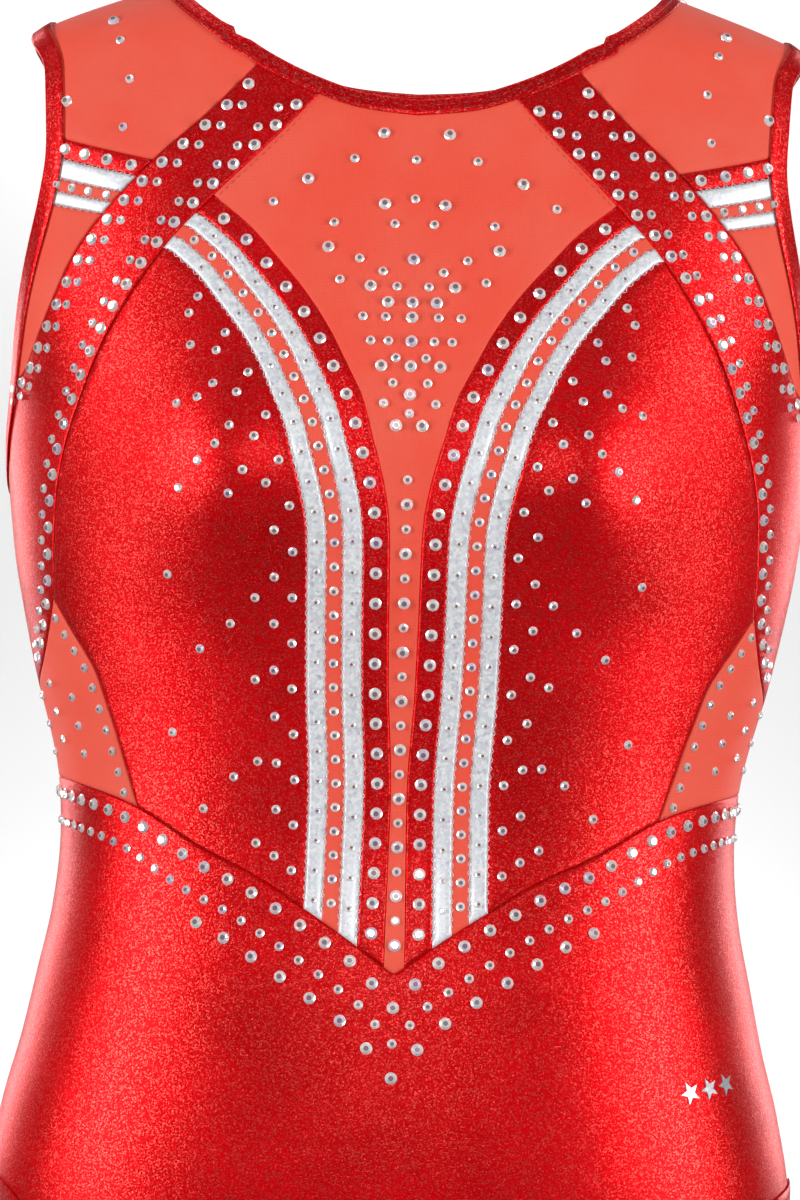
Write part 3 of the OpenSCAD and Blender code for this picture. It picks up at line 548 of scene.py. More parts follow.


# %% [markdown]
# The coral parts are power mesh: a fine knitted net. Its holes are under a millimetre, so from any
# distance it reads as a soft, matt coral. The holes are painted a darker coral: painted shade, for the
# dim inside of the garment seen through the net.

# %% Coral mesh
def net_finish(name, thread, bright, hole, pitch=1.1 * MM):
    f = Finish(name, Sheen_Weight=0.15, Sheen_Roughness=0.4, Roughness=0.62)
    cloth = f.node("SeparateXYZ", Vector=f.node("UVMap", {"uv_map": "cloth"}), output=0)
    along = Wire(f.tree, cloth.socket.node.outputs[1])
    turn = 2 * math.pi / pitch
    one = ((cloth + along) * turn).sine()
    two = ((cloth - along) * turn).sine()
    # the holes: painted shade, darker where the dim inside would show through the net
    painted_shade_holes = (one * two).ramp_up(0.1, 0.85)
    spot = f.place()
    cloud = f.noise(spot, 30, 3)
    grain = f.noise(spot, 900, 2)
    base = f.blend(cloud.ramp_up(0.3, 0.7), thread, bright)
    # painted shade in the holes, plus a random darker grain in the thread
    f.feed(Base_Color=f.blend(painted_shade_holes * 0.55 + grain.ramp_up(0.55, 0.8) * 0.18, base, hole))
    f.bump(1 - painted_shade_holes + grain * 0.4, 0.00018, 0.5)
    return f.material


# the third colour is the painted shade in the net's holes
coral_net = net_finish("coral_mesh", rgb(255, 84, 58), rgb(254, 96, 72), rgb(236, 50, 36))


# %% White foil, elastic, lining and the small trims
def white_finish():
    f = Finish("white_foil", Coat_Weight=0.35, Coat_Roughness=0.2)
    spot = f.place()
    tilt = f.node("SeparateColor", Color=f.cells(spot, 1000, output="Color"))
    green = Wire(f.tree, tilt.socket.node.outputs[1])
    base = f.blend(tilt.ramp_up(0.2, 0.9), rgb(226, 230, 236), rgb(246, 247, 248))
    tinted = f.blend(green.ramp_up(0.8, 1.0) * 0.5, base, rgb(222, 206, 236))
    f.feed(Base_Color=tinted, Roughness=0.28 + 0.3 * tilt,
           Metallic=0.15 + 0.35 * green.ramp_up(0.6, 1.0))
    f.bump(tilt, 0.00015, 0.5)
    return f.material


def knit_finish(name, colour, shade, pitch=0.9 * MM, roughness=0.75):
    """Fine ribs, for elastic, lining and a woven label; their valleys are painted darker, as painted
    shade.
    """
    f = Finish(name, Roughness=roughness, Sheen_Weight=0.2)
    spot = f.node("SeparateXYZ", Vector=f.place())
    up = Wire(f.tree, spot.socket.node.outputs[2])
    rib = (up * (2 * math.pi / pitch)).sine() * 0.5 + 0.5
    fuzz = f.noise(f.place(), 700, 2)
    # painted shade: the rib valleys and low fuzz take the darker colour, where the bump sinks the cloth
    f.feed(Base_Color=f.blend(rib * 0.5 + fuzz * 0.4, shade, colour))
    f.bump(rib + fuzz, 0.00015, 0.5)
    return f.material


white_foil = white_finish()
elastic_knit = knit_finish("elastic_knit", rgb(238, 238, 234), rgb(205, 205, 200))
lining_knit = knit_finish("lining_knit", rgb(228, 188, 164), rgb(206, 160, 136), 0.7 * MM)
label_satin = knit_finish("label_satin", rgb(246, 246, 244), rgb(226, 226, 224), 0.4 * MM, 0.45)


def thread_finish(name, colour, shade):
    f = Finish(name, Roughness=0.42, Sheen_Weight=0.3, Coat_Weight=0.2)
    twist = f.noise(f.place(), 1500, 1)
    f.feed(Base_Color=f.blend(twist.ramp_up(0.35, 0.65), shade, colour))
    return f.material


white_thread = thread_finish("white_thread", rgb(244, 244, 244), rgb(204, 204, 210))
red_thread = thread_finish("red_thread", rgb(214, 20, 40), rgb(140, 0, 12))


def silver_finish():
    f = Finish("silver_foil", Metallic=0.85)
    speck = f.noise(f.place(), 1200, 2)
    f.feed(Base_Color=f.blend(speck, rgb(196, 200, 206), rgb(244, 246, 250)),
           Roughness=0.2 + 0.25 * speck)
    f.bump(speck, 0.0001, 0.4)
    return f.material


silver_foil = silver_finish()


# %% [markdown]
# The crystals are flat-back glass with a foil behind it and a thin rainbow coating, so they look
# like small mirrors: white where they catch a lamp, dark where they don't, with a hint of lilac,
# blue or rose that differs from stone to stone. Each stone carries its own number for that tint.
# The table in the middle of each stone is painted dark: a painted reflection of something dark.

# %% Crystal
def crystal_finish():
    f = Finish("crystal", Coat_Weight=0.8, Coat_Roughness=0.03, Specular_IOR_Level=0.7)
    tint = f.node("Attribute", {"attribute_name": "tint"}, output="Fac")
    painted_table_reflection = f.node("Attribute", {"attribute_name": "painted_table_reflection"}, output="Fac")
    stops = [(0.0, (0.96, 0.95, 0.93)), (1.0, (0.90, 0.94, 1.0)), (0.3, (1.0, 1.0, 0.99)),
             (0.55, (0.86, 0.80, 0.95)), (0.65, (1.0, 0.98, 0.95)), (0.85, (0.98, 0.88, 0.88))]
    glow = f.node("ValToRGB", {"stops": stops}, Fac=tint)
    shimmer = f.noise(f.place(), 700, 1)
    # painted reflection: the table of each stone is painted a dark mauve, as if it mirrored something
    # dark
    painted_reflection_share = painted_table_reflection.ramp_up(0.1, 0.75) * 0.85
    f.feed(Base_Color=f.blend(painted_reflection_share, glow, rgb(118, 92, 104)),
           Roughness=0.1 + 0.12 * shimmer, Metallic=0.2 + 0.3 * shimmer)
    return f.material


crystal_glass = crystal_finish()
print("finishes:", len(bpy.data.materials))

# A look is a material and a slot name
FOIL, NET, WHITE = (red_foil, "red_foil"), (coral_net, "coral_mesh"), (white_foil, "white_foil")
BINDING, ELASTIC, LINING = (binding_foil, "binding"), (elastic_knit, "elastic"), (lining_knit, "lining")

# %% [markdown]
# ## Panels
# Each cut panel is a grid stretched between its four edges, the way a patch of jersey is stretched
# between its seams. The rows next to an edge are narrow and dip a little, because a seam pulls the
# cloth down into a valley. Solidify then gives the cloth its thickness, inwards.

# %% One panel
CLOTH_T = 0.9
SEAM_REACH, SEAM_DIP = 1.3, 0.35
CELL = 3.2


def grid_steps(length, count):
    """Shares of a length, with one narrow step at each end for the seam's valley."""
    reach = min(SEAM_REACH / length, 0.25)
    inner = [mix(reach, 1 - reach, i / (count - 2)) for i in range(count - 1)]
    return [0.0] + inner + [1.0]


def finish_piece(name, bm, look, cad_node=None, smooth=True):
    """Makes the object, gives it its look, and puts it in the place of its CAD solid, if it has one."""
    material, slot_name = look
    mesh = bpy.data.meshes.new(name)
    bm.to_mesh(mesh)
    bm.free()
    for face in mesh.polygons:
        face.use_smooth = smooth
    mesh.materials.append(material)
    piece = bpy.data.objects.new(name, mesh)
    bpy.context.collection.objects.link(piece)
    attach(piece, "root")
    if cad_node:
        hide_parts(cad_node)
    return piece


def mirror_mesh(bm):
    bmesh.ops.scale(bm, verts=bm.verts, vec=(-1, 1, 1))
    bmesh.ops.reverse_faces(bm, faces=bm.faces)


def panel_mesh(top, bottom, left, right, out=CLOTH_T, dip=SEAM_DIP, cell=CELL):
    """A grid between four style lines, on the skin, as a bmesh with a cloth map in metres."""
    width = max(mileage(top)[-1], mileage(bottom)[-1])
    height = max(mileage(left)[-1], mileage(right)[-1])
    cols, rows = max(3, round(width / cell)), max(3, round(height / cell))
    us, vs = grid_steps(width, cols), grid_steps(height, rows)
    tops, bottoms = shares(top, us), shares(bottom, us)
    lefts, rights = shares(left, vs), shares(right, vs)
    bm = bmesh.new()
    cloth = bm.loops.layers.uv.new("cloth")
    bmesh.ops.create_grid(bm, x_segments=cols, y_segments=rows, size=1)
    spots = {}
    for vert in bm.verts:
        j, i = round((vert.co.x + 1) / 2 * cols), round((1 - vert.co.y) / 2 * rows)
        u, v = us[j], vs[i]
        point = []
        for k in (0, 1):
            ruled = mix(tops[j][k], bottoms[j][k], v) + mix(lefts[i][k], rights[i][k], u)
            corners = mix(mix(tops[0][k], tops[-1][k], u), mix(bottoms[0][k], bottoms[-1][k], u), v)
            point.append(ruled - corners)
        edge = j in (0, cols) or i in (0, rows)
        vert.co = lifted(point, out - (dip if edge else 0))
        spots[vert] = point
    for face in bm.faces:
        for loop in face.loops:
            a, h = spots[loop.vert]
            loop[cloth].uv = (a * CLOTH_PER_DEGREE * MM, h * MM)
    return bm


panels = {}


def sew_panel(node, look, top, bottom, left, right, mirrored=False, suffix="cloth",
              out=CLOTH_T, thick=CLOTH_T, **grid):
    bm = panel_mesh(top, bottom, left, right, out, **grid)
    if mirrored:
        mirror_mesh(bm)
    area = sum(face.calc_area() for face in bm.faces)
    piece = finish_piece(f"{node}_{suffix}", bm, look, node)
    wall = piece.modifiers.new("cloth", "SOLIDIFY")
    wall.thickness, wall.offset = thick * MM, -1
    width = max(mileage(top)[-1], mileage(bottom)[-1]) * MM
    length = max(mileage(left)[-1], mileage(right)[-1]) * MM
    panels[node] = panels.get(node, []) + [(piece, area, width, length)]


def sew_both(stem, *args, **kinds):
    """The same panel on the wearer's left and, mirrored, on the right."""
    for side in ("left", "right"):
        sew_panel(f"{stem}_{side}", *args, mirrored=side == "right", **kinds)


# %% [markdown]
# ## The front
# The panels meet along the style lines, so each is named by the four lines it lies between. The
# stripes are long and narrow, the body panels wide, and the yoke is one piece of mesh with its tail.

# %% Front panels
def joined(first, second):
    return first + second[1:]


def foot_share(line):
    """Where on the waist seam a line from above ends."""
    return where(waist_seam, 0, line[-1][0])


strap_from = where(strap_inner, 1, edge_4[0][1])
strap_to = where(strap_inner, 1, level(2.66))
sew_both("front_body", FOIL, part(strap_inner, strap_from, strap_to),
         part(waist_seam, foot_share(edge_4), side_share), edge_4, side_front)

STRIPES = [("princess_strip", FOIL, edge_0, edge_1),
           ("inner_white_stripe", WHITE, edge_1, edge_2),
           ("coral_stripe", NET, edge_2, edge_3),
           ("outer_white_stripe", WHITE, edge_3, edge_4)]
for stem, look, inner, outer in STRIPES:
    sew_both(stem, look, straight(inner[0], outer[0]),
             straight(inner[-1], outer[-1]), inner, outer, cell=1.8)


def neck_at(line, point):
    return where(line, 0, point[0])


neck_mid = part(neck_front, 0, neck_at(neck_front, strap_inner[0]))
mesh_side = joined(part(strap_inner, 0, where(strap_inner, 1, edge_0[0][1])), edge_0)
mesh_foot = part(waist_seam, 0, foot_share(edge_0), 6)
sew_panel("centre_mesh", NET, joined(across(neck_mid)[::-1], neck_mid),
          joined(across(mesh_foot)[::-1], mesh_foot), across(mesh_side), mesh_side, cell=2.6)

strap_armhole = part(arm_front, where(arm_front, 1, strap_joint[1]), 1)
sew_both("front_strap", FOIL,
         part(neck_front, neck_at(neck_front, strap_inner[0]), neck_at(neck_front, strap_outer[0])),
         straight(strap_tip, arm_bottom), strap_inner, joined(strap_outer, strap_armhole), cell=2.6)

BAND_AT_ARM = [3.757, 3.71, 3.665, 3.635, 3.605]
BAND_AT_STRAP = [3.696, 3.659, 3.624, 3.6, 3.575]
band_ends = [(share(strap_outer, where(strap_outer, 1, level(s))),
              share(arm_front, where(arm_front, 1, level(a))))
             for a, s in zip(BAND_AT_ARM, BAND_AT_STRAP)]
BANDS = [("chest_band_foil", FOIL, 0, "cloth"),
         ("chest_band_white", WHITE, 1, "upper_cloth"),
         ("chest_band_coral", NET, 2, "cloth"),
         ("chest_band_white", WHITE, 3, "lower_cloth")]
for stem, look, i, suffix in BANDS:
    (a, b), (c, d) = band_ends[i], band_ends[i + 1]
    sew_both(stem, look, straight(a, b), straight(c, d), straight(a, c),
             straight(b, d), cell=1.8, suffix=suffix)

band_on_strap = where(strap_outer, 1, band_ends[0][0][1])
band_on_arm = where(arm_front, 1, band_ends[0][1][1])
sew_both("shoulder_mesh", NET,
         part(neck_front, neck_at(neck_front, strap_outer[0]), 1),
         joined(straight(*band_ends[0]), part(arm_front, 0, band_on_arm)[::-1]),
         part(strap_outer, 0, band_on_strap), straight((90, STATIONS[5]), (90, STATIONS[4])), cell=2.6)

low_on_strap = where(strap_outer, 1, band_ends[4][0][1])
low_on_arm = where(arm_front, 1, band_ends[4][1][1])
joint_on_arm = where(arm_front, 1, strap_joint[1])
mesh_inner = part(strap_outer, low_on_strap, 0.99)
mesh_outer = part(arm_front, low_on_arm, joint_on_arm * 0.995)
sew_both("armpit_mesh", NET, straight(*band_ends[4]),
         straight(mesh_inner[-1], mesh_outer[-1]), mesh_inner, mesh_outer, cell=2.2)

side_top = part(strap_inner, strap_to, 1)
side_bottom = part(waist_seam, side_share, 1)
sew_both("side_mesh", NET, joined(side_top, behind(side_top)[::-1]),
         joined(side_bottom, behind(side_bottom)[::-1]), side_front, behind(side_front), cell=2.6)

side_seam = straight(side_end, (90, LEG_H))
brief_side = joined(side_seam, leg_front)
sew_panel("front_brief", FOIL, joined(across(waist_seam)[::-1], waist_seam),
          straight((-crotch_angle, 0), (crotch_angle, 0)), across(brief_side), brief_side)
print("front panels:", len(panels))

# %% [markdown]
# ## The back
# The back repeats the front's idea more simply: a bound scoop neck, a mesh yoke, straps that come
# round from the armholes, two body panels with a centre seam, and a full seat.

# %% Back panels
BACK_STRAP_INNER, BACK_STRAP_OUTER = 166, 156
STRAP_BEND = 8 * 4  # the point after four steps of the curve
back_inner = joined([share(neck_back, where(neck_back, 0, BACK_STRAP_INNER))],
                    behind(strap_inner[STRAP_BEND:]))
back_outer = joined([share(neck_back, where(neck_back, 0, BACK_STRAP_OUTER))],
                    behind(strap_outer[STRAP_BEND:]))
back_armhole = part(arm_back, where(arm_back, 1, strap_joint[1]), 1)
sew_both("back_strap", FOIL,
         part(neck_back, where(neck_back, 0, BACK_STRAP_OUTER), where(neck_back, 0, BACK_STRAP_INNER)),
         straight(arm_bottom, strap_tip), joined(back_outer, back_armhole), back_inner, cell=2.6)

back_joint = where(arm_back, 1, strap_joint[1]) * 0.995
arm_stretch, strap_stretch = part(arm_back, 0, back_joint), part(back_outer, 0, 0.99)
sew_both("back_shoulder", NET,
         part(neck_back, where(neck_back, 0, BACK_STRAP_OUTER), 1)[::-1],
         straight(arm_stretch[-1], strap_stretch[-1]), arm_stretch, strap_stretch, cell=2.6)

YOKE_TOP = 3.45
yoke_share = where(back_inner, 1, level(YOKE_TOP))
yoke_line = joined([share(back_inner, yoke_share)],
                   styled([(139, YOKE_TOP), (146, 3.35), (157, 3.25), (170, 3.2), (180, 3.19)]))
yoke_neck = part(neck_back, 0, where(neck_back, 0, BACK_STRAP_INNER))[::-1]
yoke_side = part(back_inner, 0, yoke_share)
sew_panel("back_yoke_mesh", NET, joined(yoke_neck, round_back(yoke_neck)[::-1]),
          joined(yoke_line, round_back(yoke_line)[::-1]), yoke_side, round_back(yoke_side), cell=2.6)

back_side = behind(side_front)
back_low = part(back_waist_seam, where(back_waist_seam, 0, back_side[-1][0]), 1)
sew_both("back_body", FOIL, yoke_line, back_low,
         joined(part(back_inner, yoke_share, where(back_inner, 1, level(2.66))), back_side),
         straight(yoke_line[-1], back_waist_seam[-1]))

seat_side = joined(side_seam, leg_back)
sew_panel("back_brief", FOIL,
          joined(back_waist_seam, round_back(back_waist_seam)[::-1]),
          straight((180 - crotch_angle, 0), (180 + crotch_angle, 0)), seat_side, round_back(seat_side))
print("all panels:", len(panels))


# %% [markdown]
# ## Bindings
# Each opening is bound: a strip of the foil is folded over the raw edge with an elastic inside it,
# and sewn through with two rows of stitches. The section of that fold is swept round the opening.

# %% A sweep round an opening
LIP, FOLD_T, ELASTIC_T = 0.8, 0.6, 0.7
SLOT_LOW, SLOT_HIGH = -ELASTIC_T - 0.1, CLOTH_T + 0.1


def binding_section(width):
    """Points (past the edge, out of the cloth) round the folded strip, rounded at its lip."""
    high, low = SLOT_HIGH + FOLD_T, SLOT_LOW - FOLD_T
    middle, reach = (high + low) / 2, (high - low) / 2
    section = [(-width, SLOT_HIGH), (-width - 0.15, SLOT_HIGH + FOLD_T / 2), (-width + 0.2, high - 0.05),
               (-width * 0.66, high + 0.12), (-width * 0.33, high + 0.05), (-0.6, high)]
    for i in range(7):
        turn = math.radians(90 - 30 * i)
        section.append((LIP * math.cos(turn) * 1.1, middle + reach * math.sin(turn)))
    return section + [(-width + 0.2, low), (-width, SLOT_LOW), (-0.3, SLOT_LOW), (-0.3, SLOT_HIGH)]


def elastic_section(width):
    high, low = -0.05, -ELASTIC_T - 0.05
    return [(-width + 1, high), (-width + 1, low), (-0.5, low), (-0.5, high)]


def edge_frames(loop):
    """At each point of a closed edge: the skin, and the ways out past the edge and out of the cloth."""
    frames = []
    count = len(loop)
    for i, p in enumerate(loop):
        before, after = skin(*loop[i - 1]), skin(*loop[(i + 1) % count])
        out = normal(*p)
        frames.append((skin(*p), out.cross(after - before).normalized(), out))
    return frames


def sweep_piece(node, loop, section, look, mirrored, suffix):
    rings, round_it = len(loop), len(section)
    frames = edge_frames(loop)
    bm = bmesh.new()
    bmesh.ops.create_grid(bm, x_segments=rings, y_segments=round_it, size=1)
    for vert in bm.verts:
        i = round((vert.co.x + 1) / 2 * rings) % rings
        j = round((vert.co.y + 1) / 2 * round_it) % round_it
        place, side, out = frames[i]
        vert.co = place + side * (section[j][0] * MM) + out * (section[j][1] * MM)
    bmesh.ops.remove_doubles(bm, verts=bm.verts, dist=1e-7)
    if mirrored:
        bmesh.ops.scale(bm, verts=bm.verts, vec=(-1, 1, 1))
    bmesh.ops.recalc_face_normals(bm, faces=bm.faces)
    return finish_piece(f"{node}_{suffix}", bm, look, node)


neck_quarters = [neck_front, neck_back[::-1], round_back(neck_back), across(neck_front)[::-1]]
neck_loop = [p for line in neck_quarters for p in shares(line, [i / 56 for i in range(56)])]
arm_loop, leg_loop = [
    [p for line in (front, back[::-1]) for p in shares(line, [i / 80 for i in range(80)])]
    for front, back in ((arm_front, arm_back), (leg_front, leg_back))]
NECK_BINDING_W, ARM_BINDING_W, LEG_BINDING_W = 6, 8, 9
EDGES = [("neck", "", neck_loop, NECK_BINDING_W)]
EDGES += [(stem, side, loop, width)
          for stem, loop, width in (("armhole", arm_loop, ARM_BINDING_W),
                                    ("leg", leg_loop, LEG_BINDING_W))
          for side in ("_left", "_right")]
trims = {}
for stem, side, loop, width in EDGES:
    mirrored = side == "_right"
    trims[stem + side] = [
        sweep_piece(f"{stem}_binding{side}", loop, binding_section(width), BINDING, mirrored, "strip"),
        sweep_piece(f"{stem}_elastic{side}", loop, elastic_section(width), ELASTIC, mirrored, "band")]
print("bindings:", len(trims))

# %% [markdown]
# ## Inside
# A shelf lining supports the bust on a wide elastic, a cotton lining covers the gusset, and a blank
# label is sewn in below the back neck.

# %% Linings, elastic and label
LINING_GAP, LINING_T, LINING_LOW, LINING_WIDE = 0.6, 0.6, 2.62, 68
lining_top = styled([(-46, 3.2), (-25, 3.3), (0, 3.25), (25, 3.3), (46, 3.2)])
low_h = level(LINING_LOW)
lining_bottom = straight((-LINING_WIDE, low_h), (LINING_WIDE, low_h))
sew_panel("bust_lining", LINING, lining_top, lining_bottom,
          straight(lining_top[0], lining_bottom[0]), straight(lining_top[-1], lining_bottom[-1]),
          out=-LINING_GAP, thick=LINING_T, dip=0, cell=5)


def block_edges(a, b, high, low):
    """The edges of an upright block of cloth: top, bottom and its two sides."""
    return [straight((a, high), (b, high)), straight((a, low), (b, low)),
            straight((a, high), (a, low)), straight((b, high), (b, low))]


sew_panel("underbust_elastic", ELASTIC,
          *block_edges(-LINING_WIDE, LINING_WIDE, low_h - 0.5, low_h - 10.5),
          out=-LINING_GAP, thick=LINING_T + ELASTIC_T, dip=0, suffix="band")

GUSSET_FRONT, GUSSET_BACK, GUSSET_INSET = 70, 64, 4


def gusset_lining():
    """A strip of lining that crosses the crotch from the front to the back."""
    rows, cols = 36, 14
    bm = bmesh.new()
    bmesh.ops.create_grid(bm, x_segments=cols, y_segments=rows, size=1)
    for vert in bm.verts:
        u, v = vert.co.x, -vert.co.y
        h = abs(v) * (GUSSET_FRONT if v < 0 else GUSSET_BACK)
        a = angle_of(u * (GUSSET_HALF - GUSSET_INSET), h)
        vert.co = lifted((a, h) if v < 0 else (180 - a, h), -LINING_GAP)
    piece = finish_piece("gusset_lining_cloth", bm, LINING, "gusset_lining")
    wall = piece.modifiers.new("cloth", "SOLIDIFY")
    wall.thickness, wall.offset = LINING_T * MM, -1
    return piece


gusset = gusset_lining()
label_top, LABEL_H = level(3.86), 18
sew_panel("size_label", (label_satin, "label"), *block_edges(174, 186, label_top, label_top - LABEL_H),
          out=-1.8, thick=0.4, dip=0, cell=2, suffix="satin")

# %% [markdown]
# ## Stitches
# Thread is real geometry here: each stitch is a small bead, stretched to a stitch's length and laid
# on the cloth. Straight rows hold the bindings down, and zigzags join the stripes.

# %% Laying copies on the cloth
def beside(line, gap, n=60):
    """A line parallel to another, to the left of its direction by a distance on the cloth in mm."""
    points = shares(line, even(n))
    moved = []
    for i, (a, h) in enumerate(points):
        b, c = points[max(i - 1, 0)], points[min(i + 1, n)]
        per_degree = (skin(a + 0.5, h) - skin(a - 0.5, h)).length / MM
        per_height = (skin(a, h + 1) - skin(a, max(h - 1, 0))).length / MM / (h + 1 - max(h - 1, 0))
        dx, dh = (c[0] - b[0]) * per_degree, (c[1] - b[1]) * per_height
        size = max(1e-9, math.hypot(dx, dh))
        moved.append((a - dh / size * gap / per_degree, h + dx / size * gap / per_height))
    return moved


def true_length(line, n=60):
    points = [skin(*p) for p in shares(line, even(n))]
    return sum((b - a).length for a, b in zip(points, points[1:])) / MM


def seat(point, toward, out, turn=0.0):
    """A frame on the cloth: X along the line, Z out of the cloth, turned about Z by an angle."""
    up = normal(*point)
    along = (skin(*toward) - skin(*point)).normalized()
    along = (along - up * along.dot(up)).normalized()
    axes = Matrix((along, up.cross(along), up)).transposed().to_4x4()
    return Matrix.Translation(skin(*point) + up * (out * MM)) @ axes @ Matrix.Rotation(turn, 4, "Z")


def stitch_bead(length, width):
    mesh = bpy.data.meshes.new("stitch_bead")
    bm = bmesh.new()
    bmesh.ops.create_uvsphere(bm, u_segments=6, v_segments=4, radius=0.5)
    bmesh.ops.scale(bm, verts=bm.verts, vec=(length * MM, width * MM, width * 0.7 * MM))
    bm.to_mesh(mesh)
    bm.free()
    return mesh


def lay_copies(bm, base, seats, flipped=False):
    for matrix in seats:
        copy = base.copy()
        copy.transform(Matrix.Scale(-1, 4, (1, 0, 0)) @ matrix if flipped else matrix)
        if flipped:
            copy.flip_normals()
        bm.from_mesh(copy)
        bpy.data.meshes.remove(copy)


def stitch_row(line, pitch, out, turn=0.0, zigzag=False):
    count = max(1, round(true_length(line) / pitch))
    points = shares(line, [(i + 0.5) / count for i in range(count)] + [1.0])
    return [seat(p, q, out, turn * (1 if i % 2 or not zigzag else -1))
            for i, (p, q) in enumerate(zip(points, points[1:]))]


def stitch_piece(name, rows, bead, look):
    """One piece of thread from rows of stitches and their mirror image."""
    bm = bmesh.new()
    for flipped in (False, True):
        for seats in rows:
            lay_copies(bm, bead, seats, flipped)
    count = len(bm.verts)
    piece = finish_piece(name, bm, look)
    print(name, count, "points")
    return piece


straight_bead, zigzag_bead = stitch_bead(2.5, 0.42), stitch_bead(2.3, 0.36)
STITCH_PITCH, ZIGZAG_PITCH, ZIGZAG_TURN = 2.9, 1.75, math.radians(38)
zigzag_lines = [part(edge, 0.01, 0.99) for edge in (edge_1, edge_2, edge_3, edge_4)]
zigzag_lines += [part(straight(a, b), 0.04, 0.86) for a, b in band_ends[1:]]
stripe_rows = [stitch_row(line, ZIGZAG_PITCH, CLOTH_T - 0.02, ZIGZAG_TURN, True)
               for line in zigzag_lines]
seam_rows = [stitch_row(part(line, 0.01, 0.99), STITCH_PITCH, CLOTH_T - 0.15)
             for line in (beside(strap_inner, -1.6), beside(part(strap_outer, 0, 0.97), 1.6),
                          beside(waist_seam, -1.8), beside(side_front, 1.6))]

BINDING_TOP = SLOT_HIGH + FOLD_T + 0.02
BINDING_ROWS = [(neck_front, neck_back, (2.2, NECK_BINDING_W - 1.3)),
                (arm_front, arm_back, (3.6, ARM_BINDING_W - 1.3)),
                (leg_front, leg_back, (4.2, LEG_BINDING_W - 1.4))]
binding_rows = [stitch_row(beside(line, sign * gap, 90), STITCH_PITCH, BINDING_TOP)
                for front, back, gaps in BINDING_ROWS for gap in gaps
                for line, sign in ((front, -1), (back, 1))]
stitches = {
    "front_body_left": stitch_piece("stripe_stitches", stripe_rows, zigzag_bead,
                                    (white_thread, "white_foil")),
    "front_brief": stitch_piece("seam_stitches", seam_rows, straight_bead, (red_thread, "binding")),
    "centre_mesh": stitch_piece("binding_stitches", binding_rows, straight_bead,
                                (red_thread, "binding"))}

# %% [markdown]
# ## Crystals
# A flat-back stone is cut with a flat table and two rings of small facets. One stone of unit size is
# modelled and copied hundreds of times, so it has only a few dozen faces. Rows of stones come from
# lines and a pitch; only the fan on the yoke is placed stone by stone, and then mirrored.

# %% One stone
LARGE, SMALL, TINY = 4.7, 3.6, 2.6
PITCH = 10
FACETS = 8


def stone_mesh():
    """A unit flat-back stone, with its back at z = 0, and a value at its very middle, the table, where a
    dark reflection is painted.
    """
    bm = bmesh.new()
    bmesh.ops.create_circle(bm, cap_ends=False, segments=FACETS, radius=0.5)
    rings = [(0.08, 1.0, 0.5), (0.15, 0.8, 0.5), (0.12, 0.7, 0), (0, 0.55, 0)]
    edges = list(bm.edges)
    for rise, spread, turn in rings:
        grown = bmesh.ops.extrude_edge_only(bm, edges=edges)["geom"]
        verts = [g for g in grown if isinstance(g, bmesh.types.BMVert)]
        edges = [g for g in grown if isinstance(g, bmesh.types.BMEdge)]
        bmesh.ops.translate(bm, verts=verts, vec=(0, 0, rise))
        bmesh.ops.scale(bm, verts=verts, vec=(spread, spread, 1))
        bmesh.ops.rotate(bm, verts=verts, matrix=Matrix.Rotation(turn * 2 * math.pi / FACETS, 3, "Z"))
    bmesh.ops.contextual_create(bm, geom=edges)
    bm.verts.index_update()
    # the table's points, which carry the painted dark reflection
    painted_table_reflection = {v.index for v in verts}
    bmesh.ops.contextual_create(bm, geom=[e for e in bm.edges if len(e.link_faces) == 1])
    bmesh.ops.recalc_face_normals(bm, faces=bm.faces)
    mesh = bpy.data.meshes.new("stone")
    bm.to_mesh(mesh)
    bm.free()
    mesh.attributes.new("tint", "FLOAT", "POINT")
    painted_reflection_layer = mesh.attributes.new("painted_table_reflection", "FLOAT", "POINT")
    painted_reflection_layer.data.foreach_set("value", [1.0 if i in painted_table_reflection else 0.0 for i in range(len(mesh.vertices))])
    return mesh


stone = stone_mesh()
print("one stone:", len(stone.polygons), "faces")


def set_stones(node, places, middle=()):
    """Puts a stone and its mirror image at each (point, size), each turned and tinted its own way."""
    dice = random.Random(node)
    bm = bmesh.new()
    todo = [(point, size, flip) for point, size in places for flip in (1, -1)]
    todo += [(point, size, 1) for point, size in middle]
    for point, size, flip in todo:
        copy = stone.copy()
        tint = dice.random()
        copy.attributes["tint"].data.foreach_set("value", [tint] * len(copy.vertices))
        lean = Matrix.Rotation(math.radians(dice.uniform(-4, 4)), 4, "X")
        ahead = (point[0], point[1] + 1)
        place = seat(point, ahead, CLOTH_T - 0.05, dice.uniform(0, math.pi))
        copy.transform(place @ lean @ Matrix.Scale(size * MM, 4))
        if flip < 0:
            copy.transform(Matrix.Scale(-1, 4, (1, 0, 0)))
            copy.flip_normals()
        bm.from_mesh(copy)
        bpy.data.meshes.remove(copy)
    finish_piece(f"{node}_stones", bm, (crystal_glass, "crystal"), node, smooth=False)
    print(node, len(todo), "stones")


def stone_row(line, size, pitch=1.0, start=0.0, end=1.0, phase=0.0):
    """Stones at an even pitch along part of a line; a phase of 0.5 staggers them."""
    count = max(1, round(true_length(line) * (end - start) / (pitch * PITCH)))
    marks = [start + (end - start) * (i + 0.5 + phase) / count for i in range(count)]
    return [(p, size) for p in shares(line, [m for m in marks if m <= end])]


# %% Stones by region
def rows_beside(line, rows):
    """Rows as (gap, size, pitch, start, end, phase), each at its own distance from a line."""
    stones = []
    for gap, size, pitch, start, end, phase in rows:
        stones += stone_row(beside(line, gap), size, pitch, start, end, phase)
    return stones


